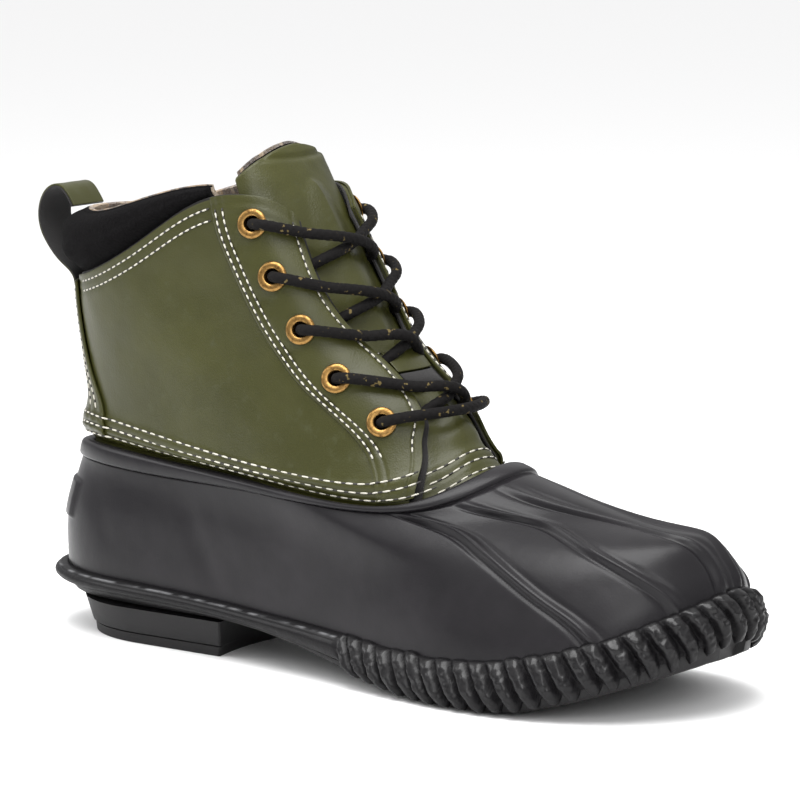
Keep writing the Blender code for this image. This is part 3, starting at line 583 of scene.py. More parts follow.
# Shell: the lower foot, one moulding in black rubber. A rolled lip goes round its top, six raised ribs
# run down the vamp, and a bare raised patch is on the back.
SHELL_WALL = 3.0
LIP_HEIGHT = 8.0
RIB_COLUMNS = ("half", "height", "line")
RIBS = ((1.7, 1.0, ((0.0, 0.06), (1.0, 0.07), (2.8, 0.13), (3.6, 0.24), (4.3, 0.28), (4.8, 0.21))),
        (1.7, 1.5, ((0.0, 0.30), (1.33, 0.36), (2.57, 0.53), (3.56, 0.66), (4.1, 0.62), (4.8, 0.48))),
        (1.9, 2.0, ((0.0, 0.60), (1.6, 0.73), (2.8, 0.90), (3.6, 0.95), (4.43, 0.87), (4.8, 0.82))))
CREASES = (((21, 61), (41, 26), 5.0, 0.55), ((33, 62), (50, 30), 5.0, 0.3), ((-30, 62), (-18, 40), 6.0, 0.3))

front_reach = 1.3
shell_turn = np.concatenate([FRONT + front_reach * np.linspace(-1, 1, 381),
                             np.linspace(FRONT + front_reach, FRONT + TURN - front_reach, 171)[1:-1]])
share = np.linspace(0, 1, 92)[:, None]
turn = np.tile(shell_turn, (len(share), 1))
lip_foot = below_lip(shell_turn, LIP_HEIGHT)[None, :]
level = lip_foot * share
skin = form(turn, level)
per_turn = np.linalg.norm(np.gradient(skin, axis=1), axis=2) / np.gradient(shell_turn)[None, :]
relief = np.zeros(turn.shape)
rib_fade = ease(0.0, 0.2, share) * ease(1.02, 0.93, share)
for side in (-1, 1):
    for row in RIBS:
        rib = dict(zip(RIB_COLUMNS, row))
        middle = FRONT + side * table(rib["line"], level)
        off = (turn - middle) * per_turn * side
        relief += rib["height"] * rib_fade * ridge(off, rib["half"])
        relief -= 0.9 * rib_fade * ridge(off - 2.1 * rib["half"], 1.3)
        relief -= 0.4 * rib_fade * ridge(off + 2.1 * rib["half"], 1.3)
for (x0, z0), (x1, z1), half, depth in CREASES:
    along = np.array([x1 - x0, z1 - z0], float)
    length = np.linalg.norm(along)
    along /= length
    offset = skin[..., [0, 2]] - (x0, z0)
    run = offset @ along
    across = offset @ np.array([-along[1], along[0]])
    relief -= depth * ridge(across, half) * ease(-6, 8, run) * ease(length + 8, length - 6, run)
from_back = np.abs((turn + math.pi) % TURN - math.pi)
patch = ease(0.47, 0.43, from_back) * ease(2.12, 2.2, level) * ease(3.5, 3.4, level)
relief += 1.1 * patch + 0.22 * rough(skin, 34.0)
rows = [form(turn, level, relief)]
lip_depth = np.array([7.9, 7.75, 7.45, 6.6, 4.5, 2.0, 1.0, 0.45, 0.1, 0.0, 0.05, 0.4])
lip_out = np.array([-0.5, 0.2, 1.1, 1.6, 1.75, 1.6, 1.3, 0.8, 0.1, -1.0, -2.2, -2.9])
rows.append(form(np.tile(shell_turn, (12, 1)),
                 np.stack([below_lip(shell_turn, d) for d in lip_depth]), lip_out[:, None]))
inner_share = np.linspace(0.97, 0.0, 12)[:, None]
rows.append(form(np.tile(shell_turn, (12, 1)), lip_foot * inner_share, -SHELL_WALL))

black_rubber = Finish("black_rubber", (0.012, 0.011, 0.0125), 0.44, specular_ior_level=0.20)
smear = black_rubber.noise(22, 4.0, 0.6)
black_rubber.paint(colour=black_rubber.mix(smear.step(0.4, 0.75), (0.0085, 0.0078, 0.009),
                                           (0.0145, 0.0132, 0.015)),
                   roughness=smear * 0.12 + 0.25 + black_rubber.noise(420, 3.0) * 0.06)
black_rubber.bump((black_rubber.noise(900, 4.0, 0.6), 0.0004, 0.10),
                  (black_rubber.noise(60, 2.0), 0.002, 0.12))
shell = grid("rubber_shell_skin", np.concatenate(rows), black_rubber.material, ring=True, tube=True)
keep(shell, "shell_rubber", "rubber_shell")

# Rand: the moulded edge that joins shell and sole. It is a plain roll round the heel, and from the waist
# round the toe it is cast as slanted turns of thick cord, knotted at their tops, which hang down over
# the edge of the sole.
RAND_GAP = 0.25
RAND_OUTER = 5.65
RAND_LEAST = 1.9
LOBE_PITCH = 7.6
LOBE_REACH = 23
LOBE_SLANT = 1.15
LOBE_FOOT = 0.44
LOBE_HANG = 9
RAND_SEED = 7
HEEL_END = 60
WAIST_LENGTH = 50
SOLE_BOTTOM = ((-62, 15.3), (42, 15.3), (60, 13.8), (80, 11.2), (100, 7.2), (120, 3.2), (138, 0.7),
               (150, 0.0), (164, 0.0), (176, 0.0), (190, 1.6), (210, 7.2), (230, 14.2), (245, 20.6),
               (256, 25.5))


def fore_share(x):
    """Rises from 0 under the heel to 1 in front of the waist."""
    return np.clip((x - HEEL_END) / WAIST_LENGTH, 0, 1)


def rand_tall(x):
    """The rand's height at x, as a share of its height round the forefoot."""
    return 0.68 + 0.32 * fore_share(x)


def tree_of(points):
    """A tree that finds the nearest of these points."""
    tree = kdtree.KDTree(len(points))
    for i, point in enumerate(points):
        tree.insert(point, i)
    tree.balance()
    return tree


edge_turn = np.linspace(0, TURN, 2001)
edge = form(edge_turn, 0.0)
edge_run = run_along(edge)
front_run = np.interp(FRONT, edge_turn, edge_run)
lobe_start = front_run - LOBE_REACH * LOBE_PITCH
lobe_end = front_run + LOBE_REACH * LOBE_PITCH
rand_run = np.concatenate([np.linspace(lobe_start, lobe_end, 640),
                           np.linspace(lobe_end, lobe_start + edge_run[-1], 170)[1:-1]])
lobed = ease(lobe_start, lobe_start + 3, rand_run) * ease(lobe_end, lobe_end - 3, rand_run)
w = np.linspace(0, 1, 34)[:, None]
dice = np.random.RandomState(RAND_SEED)
luck = dice.uniform(-1, 1, (2 * LOBE_REACH + 2, 4))
count = (rand_run - lobe_start) / LOBE_PITCH + lobed * LOBE_SLANT * ((w - 0.5) + 0.35 * (w - 0.5) ** 2)
index = np.clip(np.floor(count).astype(int), 0, len(luck) - 1)
along = count - np.floor(count)
crevice = 0.10 + 0.24 * ease(0.6, 0.0, w)
lobe = np.clip((1 - np.abs(2 * along - 1 + 0.12 * luck[index, 0])) - crevice, 0, 1) / (1 - crevice)
lobe = 1 - lobed * (1 - np.sqrt(np.clip(lobe * 1.7, 0, 1)))
front_x = np.interp(rand_run % edge_run[-1], edge_run, edge[:, 0])[None, :]
tall = rand_tall(front_x)
low_v = -0.5 - 0.14 * lobe
high_v = 0.50 + lobed * (0.05 + 0.07 * luck[index, 1]) * lobe
upper = lobed * np.clip((w - LOBE_FOOT) / (1 - LOBE_FOOT), 0, 1) + (1 - lobed) * w
v = (low_v + (high_v - low_v) * upper) * tall
turn = np.interp((rand_run + 0 * w) % edge_run[-1], edge_run, edge_turn)
seat = form(edge_turn, -0.6 * rand_tall(edge[:, 0]))
floor_z = np.interp(seat[:, 0], *np.array(SOLE_BOTTOM, float).T)
hang = np.interp(rand_run % edge_run[-1], edge_run, np.clip(seat[:, 2] - floor_z - 1.2, 0, LOBE_HANG))
lobe_drop = hang * lobed * np.clip((LOBE_FOOT - w) / LOBE_FOOT, 0, 1) * (0.72 + 0.28 * lobe)
lobe_drop = np.stack([0 * lobe_drop, 0 * lobe_drop, -lobe_drop], axis=2)
round_off = np.clip(np.sin(math.pi * w), 0, 1) ** 0.42
top_knot = ridge((along - 0.45) / 0.22, 1) * ridge((w - 0.86 + 0.03 * luck[index, 2]) / 0.07, 1)
small_knot = ridge((along - 0.93) / 0.09, 1) * ridge((w - 0.72) / 0.06, 1)
swell = RAND_LEAST + (RAND_OUTER - RAND_GAP - RAND_LEAST) * lobe * (1 + 0.10 * luck[index, 3] * lobed)
rand_skin = form(turn, v, RAND_GAP + swell * round_off) + lobe_drop
toe = ease(205, 240, front_x)
wrinkle = (0.55 + 0.3 * toe) * rough(rand_skin, 2.4) + (0.25 + 0.4 * toe) * rough(rand_skin, 1.4, 9.0)
heel_seam = (1 - lobed) * (0.35 * ridge((w - 0.9) / 0.03, 1) - 0.3 * ridge((w - 0.82) / 0.03, 1))
detail = lobed * (0.75 * top_knot + 0.6 * small_knot + wrinkle) + heel_seam
detail = detail + 0.12 * (1 - lobed) * rough(rand_skin, 3.0)
rand_skin = form(turn, v, RAND_GAP + swell * round_off + detail * round_off) + lobe_drop
inner_w = np.array([0.95, 0.5, 0.05])[:, None]
back_v = (low_v[0] + (high_v[-1] - low_v[0]) * inner_w) * tall
rand_back = form(np.tile(turn[0], (3, 1)), back_v, RAND_GAP * 0.4)
rand_back[-1] += lobe_drop[0] * 0.8

wet_rubber = Finish("knotted_rubber", (0.005, 0.0046, 0.0052), 0.5, specular_ior_level=0.10,
                    coat_roughness=0.22)
dull = wet_rubber.noise(300, 3.0)
# A grey line is mixed in where the glint attribute is high: painted highlight along the top of the heel roll.
glint = wet_rubber.mix(wet_rubber.value("glint"), (0.005, 0.0046, 0.0052), (0.13, 0.13, 0.135))
wet_rubber.paint(colour=glint, roughness=dull * 0.3 + 0.4,
                 coat=wet_rubber.value("shine") * (dull * 0.5 + 0.15))
wet_rubber.bump((wet_rubber.noise(1300, 3.0), 0.0005, 0.3), (wet_rubber.noise(420, 2.0), 0.0008, 0.25))
rand = grid("rand_roll", np.concatenate([rand_skin, rand_back]), wet_rubber.material, ring=True, tube=True)
# The glint attribute marks a thin broken line of painted highlight along the ridge at the top of the heel
# roll.
rand_lines = rand.data.attributes.new("glint", "FLOAT", "POINT")
places = np.zeros(len(rand.data.vertices) * 3)
rand.data.vertices.foreach_get("co", places)
glint_points = form(turn[0], (low_v[0] + (high_v[0] - low_v[0]) * 0.91) * tall[0], RAND_GAP + 3.4)
glint_points = glint_points[(lobed < 0.5) & (rand_run > lobe_end)]
places = places.reshape(-1, 3) / MM
from_glint_line = np.array([np.linalg.norm(glint_points - p, axis=1).min() if p[0] < 110 else 9.0 for p in places])
broken = rough(places * (1.0, 1.0, 0.2), 5.0, 3.0)
rand_lines.data.foreach_set("value", np.clip(1 - from_glint_line / 0.8, 0, 1) * ease(-0.25, 0.2, broken))
skin_tree = tree_of(rand_skin.reshape(-1, 3))
shine = (ease(0.35, 0.9, lobe) * lobed + 0.4 * (1 - lobed)) * (0.5 + 0.5 * ease(0.2, 0.75, w))
rand_shine = rand.data.attributes.new("shine", "FLOAT", "POINT")
rand_shine.data.foreach_set("value", np.array([shine.ravel()[skin_tree.find(p)[1]] for p in places]))
keep(rand, "shell_rubber", "rand")

# Outsole: a moulded rubber plate, fused to the rand above it. Its ledge is drawn in behind the rand's
# lobes, its waist is arched, and its tread curves up to the toe with cross grooves under the forefoot.
GROOVES = (112.0, 123.0, 134.0, 144.0, 182.0, 193.0, 204.0, 215.0, 226.0)
GROOVE_REACH = 38
TREAD_DEPTH = 2.0
FINE_PITCH = 5.2
FINE_DEPTH = 0.5
station = np.arccos(1 - 2 * np.linspace(0.004, 0.997, 300))
bottom_rows = np.array(SOLE_BOTTOM)


def sole_edge_rings(turn):
    """One side of the sole's section at each station, from its hidden top out and down to the tread."""
    edge_x = form(turn, 0.0)[:, 0]
    fore = fore_share(edge_x)
    low = -0.62 * rand_tall(edge_x)
    seat = form(turn, low)
    rings = [form(turn, -0.05, -0.3)]
    for out, drop in ((-0.3, 0.45), (0.2 * fore, 0.45), (0.5 * fore, 0.6), (0.6 * fore, 1.0)):
        rings.append(form(turn, low, out))
        rings[-1][:, 2] = seat[:, 2] - drop
    tread = form(turn, low, -5.5)
    tread[:, 2] = np.minimum(np.interp(tread[:, 0], bottom_rows[:, 0], bottom_rows[:, 1]), seat[:, 2] - 1.8)
    for out, share in ((0.3, 0.35), (-1.2, 0.85)):
        rings.append(form(turn, low, out - 1.2 * (1 - fore)))
        rings[-1][:, 2] = (seat[:, 2] - 1.0) * (1 - share) + tread[:, 2] * share
    return rings + [tread]


def close_ends():
    """Fills the open ends of the piece just made."""
    bpy.ops.object.mode_set(mode="EDIT")
    bpy.ops.mesh.select_all(action="SELECT")
    bpy.ops.mesh.fill_holes(sides=0)
    bpy.ops.object.mode_set(mode="OBJECT")


near_side = np.stack(sole_edge_rings(station), axis=1)
far_side = np.stack(sole_edge_rings(TURN - station), axis=1)
t = np.linspace(0, 1, 50)[None, 1:-1, None]
floor_part = near_side[:, -1:] * (1 - t) + far_side[:, -1:] * t
x, y = floor_part[..., 0], floor_part[..., 1]
cut = np.zeros(x.shape)
for groove in GROOVES:
    cut = np.maximum(cut, ease(2.3, 1.7, np.abs(x - groove)))
fine = ease(0.2, 0.8, np.abs(((x + 0.35 * np.abs(y)) / FINE_PITCH) % 1 - 0.5) * 2)
tread_zone = ease(96, 102, x) * ease(238, 232, x)
grooves = TREAD_DEPTH * cut * ease(GROOVE_REACH, GROOVE_REACH - 1.5, np.abs(y))
floor_part[..., 2] += np.maximum(grooves, FINE_DEPTH * (1 - fine)) * tread_zone
section = [near_side, floor_part, far_side[:, ::-1], far_side[:, :1] * 0.7 + near_side[:, :1] * 0.3,
           far_side[:, :1] * 0.3 + near_side[:, :1] * 0.7]
sole_rubber = Finish("sole_rubber_matt", (0.011, 0.0105, 0.011), 0.55, specular_ior_level=0.2)
sole_rubber.bump((sole_rubber.noise(1500, 3.0), 0.0004, 0.25))
outsole = grid("outsole_plate", np.concatenate(section, axis=1), sole_rubber.material, ring=True)
close_ends()
keep(outsole, "sole_rubber", "outsole")

# Heel: a moulded rubber block under the back of the sole, with a hollowed breast. The boot stands on a
# thinner top lift, which is set in from the block's edge behind a fine groove.
HEEL_RINGS = ((0.0, -42.7, 30.3), (0.35, -43.0, 30.6), (3.5, -43.35, 30.85), (3.8, -43.4, 30.9),
              (4.0, -42.9, 30.3), (4.3, -42.9, 30.3), (4.45, -43.9, 31.4), (4.8, -44.25, 31.75),
              (9.5, -45.4, 33.1), (14.6, -46.6, 34.6))
TOP_LIFT = 4.4
HEEL_BREAST = 37.0
HEEL_ROUND = 38.0
BREAST_HOLLOW = 4.5
CORNER = 0.7
rings = []
for z, back_x, half in HEEL_RINGS:
    swing = np.linspace(0, math.pi / 2, 40)
    side_x = back_x + HEEL_ROUND * (1 - np.cos(swing))
    side_y = half * np.sin(swing) ** 0.9
    front = HEEL_BREAST + 0.2 * z - (0.5 if z < TOP_LIFT else 0.0)
    flank_x = np.linspace(side_x[-1], front - CORNER, 30)[1:]
    across = np.linspace(half - CORNER, -half + CORNER, 31)
    half_x = np.concatenate([side_x, flank_x])
    half_y = np.concatenate([side_y, np.full(len(flank_x), half)])
    breast_x = front - BREAST_HOLLOW * (1 - (across / half) ** 2)
    ring_x = np.concatenate([half_x, breast_x, half_x[:0:-1]])
    ring_y = np.concatenate([half_y, across, -half_y[:0:-1]])
    rings.append(np.stack([ring_x, -ring_y, np.full(len(ring_x), z)], axis=1))
heel = grid("heel_block", np.array(rings), sole_rubber.material, ring=True)
close_ends()
bpy.ops.object.shade_smooth_by_angle(angle=math.radians(35))
keep(heel, "sole_rubber", "heel")

# Quarters: one sheet of smooth olive faux leather round the back of the leg, from one eyestay to the
# other. Its foot goes down inside the shell, and it is sewn to a black lining that shows as a dark edge.
TOPLINE = ((-60, 139.5), (-54, 140), (-36, 143), (-20, 148.5), (-5, 156), (8, 164), (22, 172.5), (36, 178),
           (48, 179.5), (57, 178), (64, 173), (72, 164))
EYESTAY_REAR = ((74, 116.0), (82, 112.0), (96, 99.0), (108, 82.0), (121, 68.0), (138, 55.0), (154, 45.0),
                (166, 38.5), (176, 35.5), (190, 33.0))
SHAFT_TUCK = 7.0
BAND_LEVEL = 5.92
BAND_STEP = 0.6
BAND_ROWS = (3.5, 7.2, 11.2)
QUARTER_THICK = 1.2
LINING_THICK = 0.9
BACKING_REACH = 0.7
EYELET_HOLE = 3.4
TOP_ROWS = (2.6, 6.2)
LEVEL_PER_MM = 0.052

fine_level = np.linspace(4.2, 11.95, 180)
front_line = turn_at(fine_level, EYESTAY_FRONT)
rear_line = turn_at(fine_level, EYESTAY_REAR)


def front_turn(level):
    """Ring angle of the near eyestay's front edge at a level."""
    return np.interp(level, fine_level, front_line)


def topline(x):
    """Height of the quarters' top edge at x."""
    return table(TOPLINE, x)


def under_lip(level):
    """Depth of the quarters' face: inside the shell below the lip, out to the last's form above it."""
    return -(SHELL_WALL + 0.8) * (1 - ease(LIP_LEVEL, LIP_LEVEL + 0.5, level))


def above_lip(turn, level):
    """Distance in millimetres of a level above the shell lip's top edge."""
    pace = np.linalg.norm(form(turn, LIP_LEVEL + 0.6) - form(turn, LIP_LEVEL), axis=-1) / 0.6
    return (level - LIP_LEVEL) * pace


def shaft_rows(shares, beyond, over, low_count, high_count):
    """Turns and levels of a sheet between the eyestays' front edges, up to the topline."""
    turn = shares * front_turn(9.0)
    for _ in range(5):
        top = level_at(turn, topline) + over
        turn = shares * (front_turn(top) + beyond)
    foot = below_lip(shares * front_turn(5.0), SHAFT_TUCK)
    low = foot + (BAND_LEVEL + 0.14 - foot) * np.linspace(0, 1, low_count)[:, None]
    high = BAND_LEVEL + 0.14 + (top - BAND_LEVEL - 0.14) * np.linspace(0, 1, high_count)[1:, None]
    level = np.concatenate([low, high])
    return shares * (front_turn(level) + beyond), level


def leather_relief(turn, level, top):
    """Troughs along the stitch rows with soft puffs between them, a dip below each eyelet, and waves."""
    high = above_lip(turn, level)
    skin = form(turn, level)
    out = BAND_STEP * ease(13.0, 10.6, high) * ease(0.3, 2.0, high)
    puff = 0.75 + 0.25 * np.cos(turn * 62)
    for row in BAND_ROWS:
        out -= 0.42 * ridge(high - row, 0.75) * puff
    for x, z in EYELETS:
        dip = ridge((skin[..., 0] - x + 2.5) / 5.0, 1) * ridge((skin[..., 2] - z + 9.0) / 4.0, 1)
        out -= 0.75 * dip
    edge = (top - level) / LEVEL_PER_MM
    out -= 0.22 * (ridge(edge - TOP_ROWS[0], 0.8) + ridge(edge - TOP_ROWS[1], 0.8))
    return out + 0.4 * rough(skin, 26.0) + 0.12 * rough(skin, 8.0, 4.0)


def cut_holes(ob, sides):
    """Cuts a round hole at each eyelet."""
    for far in sides:
        for row in range(1, 6):
            turn, level = eyelet_spots[far, row]
            centre = Vector(form(turn, level) * MM)
            axis = Vector(form(turn, level, 1.0) - form(turn, level)).to_track_quat("Z", "Y")
            bpy.ops.object.select_all(action="DESELECT")
            bpy.ops.mesh.primitive_cylinder_add(vertices=28, radius=EYELET_HOLE * MM, depth=0.012,
                                                location=centre, rotation=axis.to_euler())
            drill = bpy.context.object
            drill_cut = ob.modifiers.new("hole", "BOOLEAN")
            drill_cut.operation = "DIFFERENCE"
            drill_cut.solver = "MANIFOLD"
            drill_cut.object = drill
            bpy.context.view_layer.objects.active = ob
            bpy.ops.object.modifier_apply(modifier="hole")
            bpy.data.objects.remove(drill)
    bpy.ops.object.select_all(action="DESELECT")
    ob.select_set(True)
    bpy.context.view_layer.objects.active = ob
    bpy.ops.object.shade_smooth_by_angle(angle=math.radians(42))


olive_leather = Finish("olive_leather", (0.033, 0.034, 0.008), 0.42, specular_ior_level=0.24)
cloud = olive_leather.noise(28, 3.0)
# Where this noise is high it mixes in a lighter green as painted highlight; the same noise also varies the
# roughness.
sheen_patches = olive_leather.noise(160, 4.0, 0.65)
worn = olive_leather.mix(cloud.step(0.35, 0.7), (0.029, 0.0295, 0.0070), (0.038, 0.0385, 0.0092))
olive_leather.paint(colour=olive_leather.mix(sheen_patches.step(0.55, 0.8), worn, (0.040, 0.042, 0.017)),
                    roughness=cloud * 0.10 + 0.28 + sheen_patches * 0.06)
pores = olive_leather.cells(1500)
olive_leather.bump((olive_leather.noise(260, 4.0, 0.6), 0.0006, 0.12), (pores, 0.0003, 0.16),
                   (olive_leather.noise(55, 2.0), 0.002, 0.10))
lining_cloth = Finish("black_lining", (0.012, 0.011, 0.011), 0.85, sheen_weight=0.08, specular_ior_level=0.25)
lining_cloth.bump((lining_cloth.noise(3000, 2.0), 0.0003, 0.5))

quarter_shares = np.linspace(-1, 1, 331)
turn, level = shaft_rows(quarter_shares, 0.0, 0.0, 40, 60)
out = under_lip(level) + leather_relief(turn, level, level[-1])
quarters = grid("quarters_sheet", form(turn, level, out), olive_leather.material)
give_wall(quarters, QUARTER_THICK, 0.3)
cut_holes(quarters, (False, True))
keep(quarters, "green_leather", "shaft")
turn, level = shaft_rows(quarter_shares, 0.072, BACKING_REACH / 14.0, 16, 40)
out = under_lip(level) - QUARTER_THICK - 0.12
quarter_lining = grid("quarters_lining", form(turn, level, out), lining_cloth.material)
give_wall(quarter_lining, LINING_THICK, 0.3)
cut_holes(quarter_lining, (False, True))
keep(quarter_lining, "green_leather")

# Eyestays: a second layer of the olive leather down each side of the opening, sewn on with a double row
# along its rear edge and a single row near its front edge. Five eyelets go through each.
EYESTAY_STEP = 1.05
EYESTAY_THICK = 0.95
STAY_FOOT = 5.1
REAR_ROWS = (1.9, 5.2)
FRONT_ROW = 3.6


def eyestay_band(far):
    """Turns and levels of one eyestay, from its front edge back to its rear edge."""
    share = np.linspace(0, 1, 56)[None, :]
    rows = np.linspace(0, 1, 150)[:, None]
    level = np.full((150, 56), 9.0)
    for _ in range(4):
        turn = (front_turn(level) + 0.03) * (1 - share) + np.interp(level, fine_level, rear_line) * share
        crown = level_at(turn[-1], topline) + 0.03
        crown = np.minimum(crown, crown[3] + 2.0 * share[0] + 0.4)
        level = STAY_FOOT + (crown - STAY_FOOT) * rows
    return (TURN - turn if far else turn), level


def across_stay(turn, level):
    """Distance of an eyestay's points from its front edge, and from its rear edge."""
    skin = form(turn, level)
    from_front = np.cumsum(np.linalg.norm(np.diff(skin, axis=1, prepend=skin[:, :1]), axis=2), axis=1)
    return from_front, from_front[:, -1:] - from_front


for far in (False, True):
    turn, level = eyestay_band(far)
    near_turn = TURN - turn if far else turn
    relief = leather_relief(near_turn, level, level[-1])
    from_front, from_rear = across_stay(turn, level)
    relief -= 0.28 * (ridge(from_rear - REAR_ROWS[0], 0.7) + ridge(from_rear - REAR_ROWS[1], 0.7)
                      + ridge(from_front - FRONT_ROW, 0.7))
    out = under_lip(level) + EYESTAY_STEP + relief - 0.35 * ease(1.2, 0.0, from_rear)
    face = form(turn, level, out)
    name = "far" if far else "near"
    stay = grid("eyestay_band_" + name, face if far else face[:, ::-1], olive_leather.material)
    outward(stay, (0.0, 1.0 if far else -1.0, 0.0))
    give_wall(stay, EYESTAY_THICK, 0.3)
    cut_holes(stay, (far,))
    keep(stay, "green_leather")

# Eyelets: turned brass rings, five through each eyestay. A rolled rim lies on the leather, and a barrel
# goes in through the eyestay, the quarters and their lining.
EYELET_PROFILE = ((3.25, -2.6), (3.25, 1.35), (5.3, 1.45), (5.75, 1.7), (5.65, 2.1), (5.1, 2.5), (4.3, 2.65),
                  (3.5, 2.55), (3.0, 2.25), (2.8, 1.6), (2.8, 0.0), (2.8, -2.6))
brass = Finish("aged_brass", (0.40, 0.25, 0.085), 0.34, metallic=1.0)
dull = brass.noise(700, 4.0, 0.6)
brass.paint(colour=brass.mix(dull.step(0.45, 0.75), (0.27, 0.155, 0.05), (0.09, 0.048, 0.016)),
            roughness=dull * 0.3 + 0.2)
brass.bump((brass.noise(1800, 2.0), 0.0002, 0.2))
profile = np.array(EYELET_PROFILE)
rim = cardinal(np.arange(2.0, 10.0), np.linspace(2, 9, 26)) @ profile[2:10]
profile = np.concatenate([profile[:2], rim, profile[10:]])
for (far, row), (turn, level) in eyelet_spots.items():
    centre = form(turn, level)
    axis = form(turn, level, 1.0) - centre
    right = np.cross(axis, (0.0, 0.0, 1.0))
    right /= np.linalg.norm(right)
    up = np.cross(axis, right)
    swing = np.linspace(0, TURN, 48, endpoint=False)[None, :, None]
    spokes = np.cos(swing) * right + np.sin(swing) * up
    points = centre + spokes * profile[:, :1, None] + axis * profile[:, 1:, None]
    name = "%s_%d" % ("far" if far else "near", row)
    eyelet = grid("eyelet_ring_" + name, points, brass.material, ring=True, tube=True)
    keep(eyelet, "eyelet_brass", "eyelet_" + name)

# Tongue: a padded olive panel up the front with the vamp at its foot, inside the shell and the quarters
# at its sides and swelling out between the eyestays. A seam crosses it, and its top edge is bound.
TONGUE_REACH = 0.98
TONGUE_TUCK = 7.5
TONGUE_RISE = 2.4
TONGUE_TOP = 198.6
TONGUE_DROP = 13.0
TONGUE_DEPTH = 3.2
TONGUE_PAD = ((0, 0.3, 0.6, 0.93, 1.0), (2.2, 3.0, 7.0, 8.5, 6.0))
SEAM_HEIGHT = 123.6
BINDING_HEIGHT = 194.5


def stands_proud(turn, level):
    """Rises from 0 where the tongue lies under the quarters to 1 between the eyestays."""
    gap = FRONT - front_turn(level) - np.abs(turn - FRONT)
    return ease(0.14, 0.42, gap)


def padded_skin(name, turn, level, out, depth, crown, material):
    """A closed pad: an outer sheet, an inner one `depth` below it, and rounded rims between them."""
    half = depth / 2
    left = form(turn[:, :1], level[:, :1], (out - half)[:, :1])
    right = form(turn[:, -1:], level[:, -1:], (out - half)[:, -1:])
    outer = form(turn, level, out)
    inner = form(turn, level, out - depth)
    middle = form(turn, level, out - half)
    section = [outer, right, inner[:, ::-1], left]
    body = np.concatenate(section, axis=1)
    core = np.concatenate([middle, right, middle[:, ::-1], left], axis=1)
    rise = np.array([0.0, 0.0, crown])
    caps = [core[-1] + (body[-1] - core[-1]) * wide + rise * high
            for wide, high in ((0.86, 0.5), (0.5, 0.87), (0.0, 1.0))]
    return grid(name, np.concatenate([core[:1], body, caps]), material, ring=True)


share = np.linspace(-1, 1, 150)[None, :]
foot = below_lip(FRONT + TONGUE_REACH * share[0], TONGUE_TUCK)
top = level_at(FRONT + TONGUE_REACH * 0.82 * share[0], TONGUE_TOP - TONGUE_DROP * np.abs(share[0]) ** 1.6)
rows = np.linspace(0, 1, 150)[:, None]
level = foot + (top - foot) * rows
row_share = np.clip((level[:, 75:76] - LIP_LEVEL) / (level[-1, 75] - LIP_LEVEL), 0, 1)
turn = FRONT + TONGUE_REACH * (1 - 0.18 * row_share) * share
proud = stands_proud(turn, level)
pad = np.interp(row_share, *TONGUE_PAD)
pad = pad * (1 - 0.45 * np.abs(share) ** 3)
skin = form(turn, level)
high = above_lip(turn, level)
seam = skin[..., 2] - SEAM_HEIGHT
out = under_lip(level) - TONGUE_DEPTH + TONGUE_RISE * proud + 0.9 * row_share * proud * np.cos(share * 1.2)
out += 0.45 * rough(skin, 17.0) + 0.15 * rough(skin, 6.0, 2.0) - 1.0 * ridge(seam, 1.0) * proud
for row in BAND_ROWS:
    out -= 0.4 * ridge(high - row, 0.75)
out -= 0.9 * ridge(skin[..., 2] - BINDING_HEIGHT, 1.0)
lace_tree = tree_of(lace_line)
for _ in range(3):
    points = form(turn, level, out)
    near_lace = np.array([lace_tree.find(p)[2] for p in points.reshape(-1, 3)]).reshape(out.shape)
    out -= 0.9 * np.clip(LACE_RADIUS + 0.25 - near_lace, 0, None)
    soft = np.clip(LACE_RADIUS + 2.6 - near_lace, 0, 2.0) * 0.16
    out -= soft * (proud > 0.3) / 3
tongue = padded_skin("tongue_pad", turn, level, out, pad, 1.6, olive_leather.material)
keep(tongue, "green_leather", "tongue")
tongue_turn, tongue_level, tongue_out = turn, level, out

# Lace keeper: a short strip of the same leather, sewn across the tongue by its ends. Below it a black
# sheet paints the shade in the slot that a lace could run through.
KEEPER_EDGES = (115.6, 122.6)
KEEPER_MIDDLE = 119.0
KEEPER_HALF = 0.22
KEEPER_THICK = 0.8
share = np.linspace(-1, 1, 40)[None, :]
rows = np.linspace(0, 1, 14)[:, None]
keeper_low, keeper_high = level_at(np.full(2, FRONT), np.array(KEEPER_EDGES))
level = np.tile(keeper_low + (keeper_high - keeper_low) * rows, (1, 40))
turn = FRONT + KEEPER_HALF * share + 0 * rows
up_tongue = row_share[np.argmin(np.abs(skin[:, 75, 2] - KEEPER_MIDDLE))]
out = -0.45 + 0.9 * up_tongue + 0.25 * np.sin(math.pi * rows)
out = out + 0.4 - 0.5 * np.abs(share) ** 3
keeper = grid("keeper_strip", form(turn, level, out), olive_leather.material)
give_wall(keeper, KEEPER_THICK, 0.25)
keep(keeper, "green_leather", "tongue_keeper")
# The black sheet just below the keeper's lower edge is painted shade, standing for the shadow in the slot.
slot_shade_level = keeper_low - np.array([0.26, 0.02])[:, None] + 0 * share
slot = grid("keeper_slot_shade", form(FRONT + 0.21 * share + 0 * slot_shade_level, slot_shade_level, out[:2] - 0.55),
            lining_cloth.material)
give_wall(slot, 0.5)
keep(slot, "green_leather")

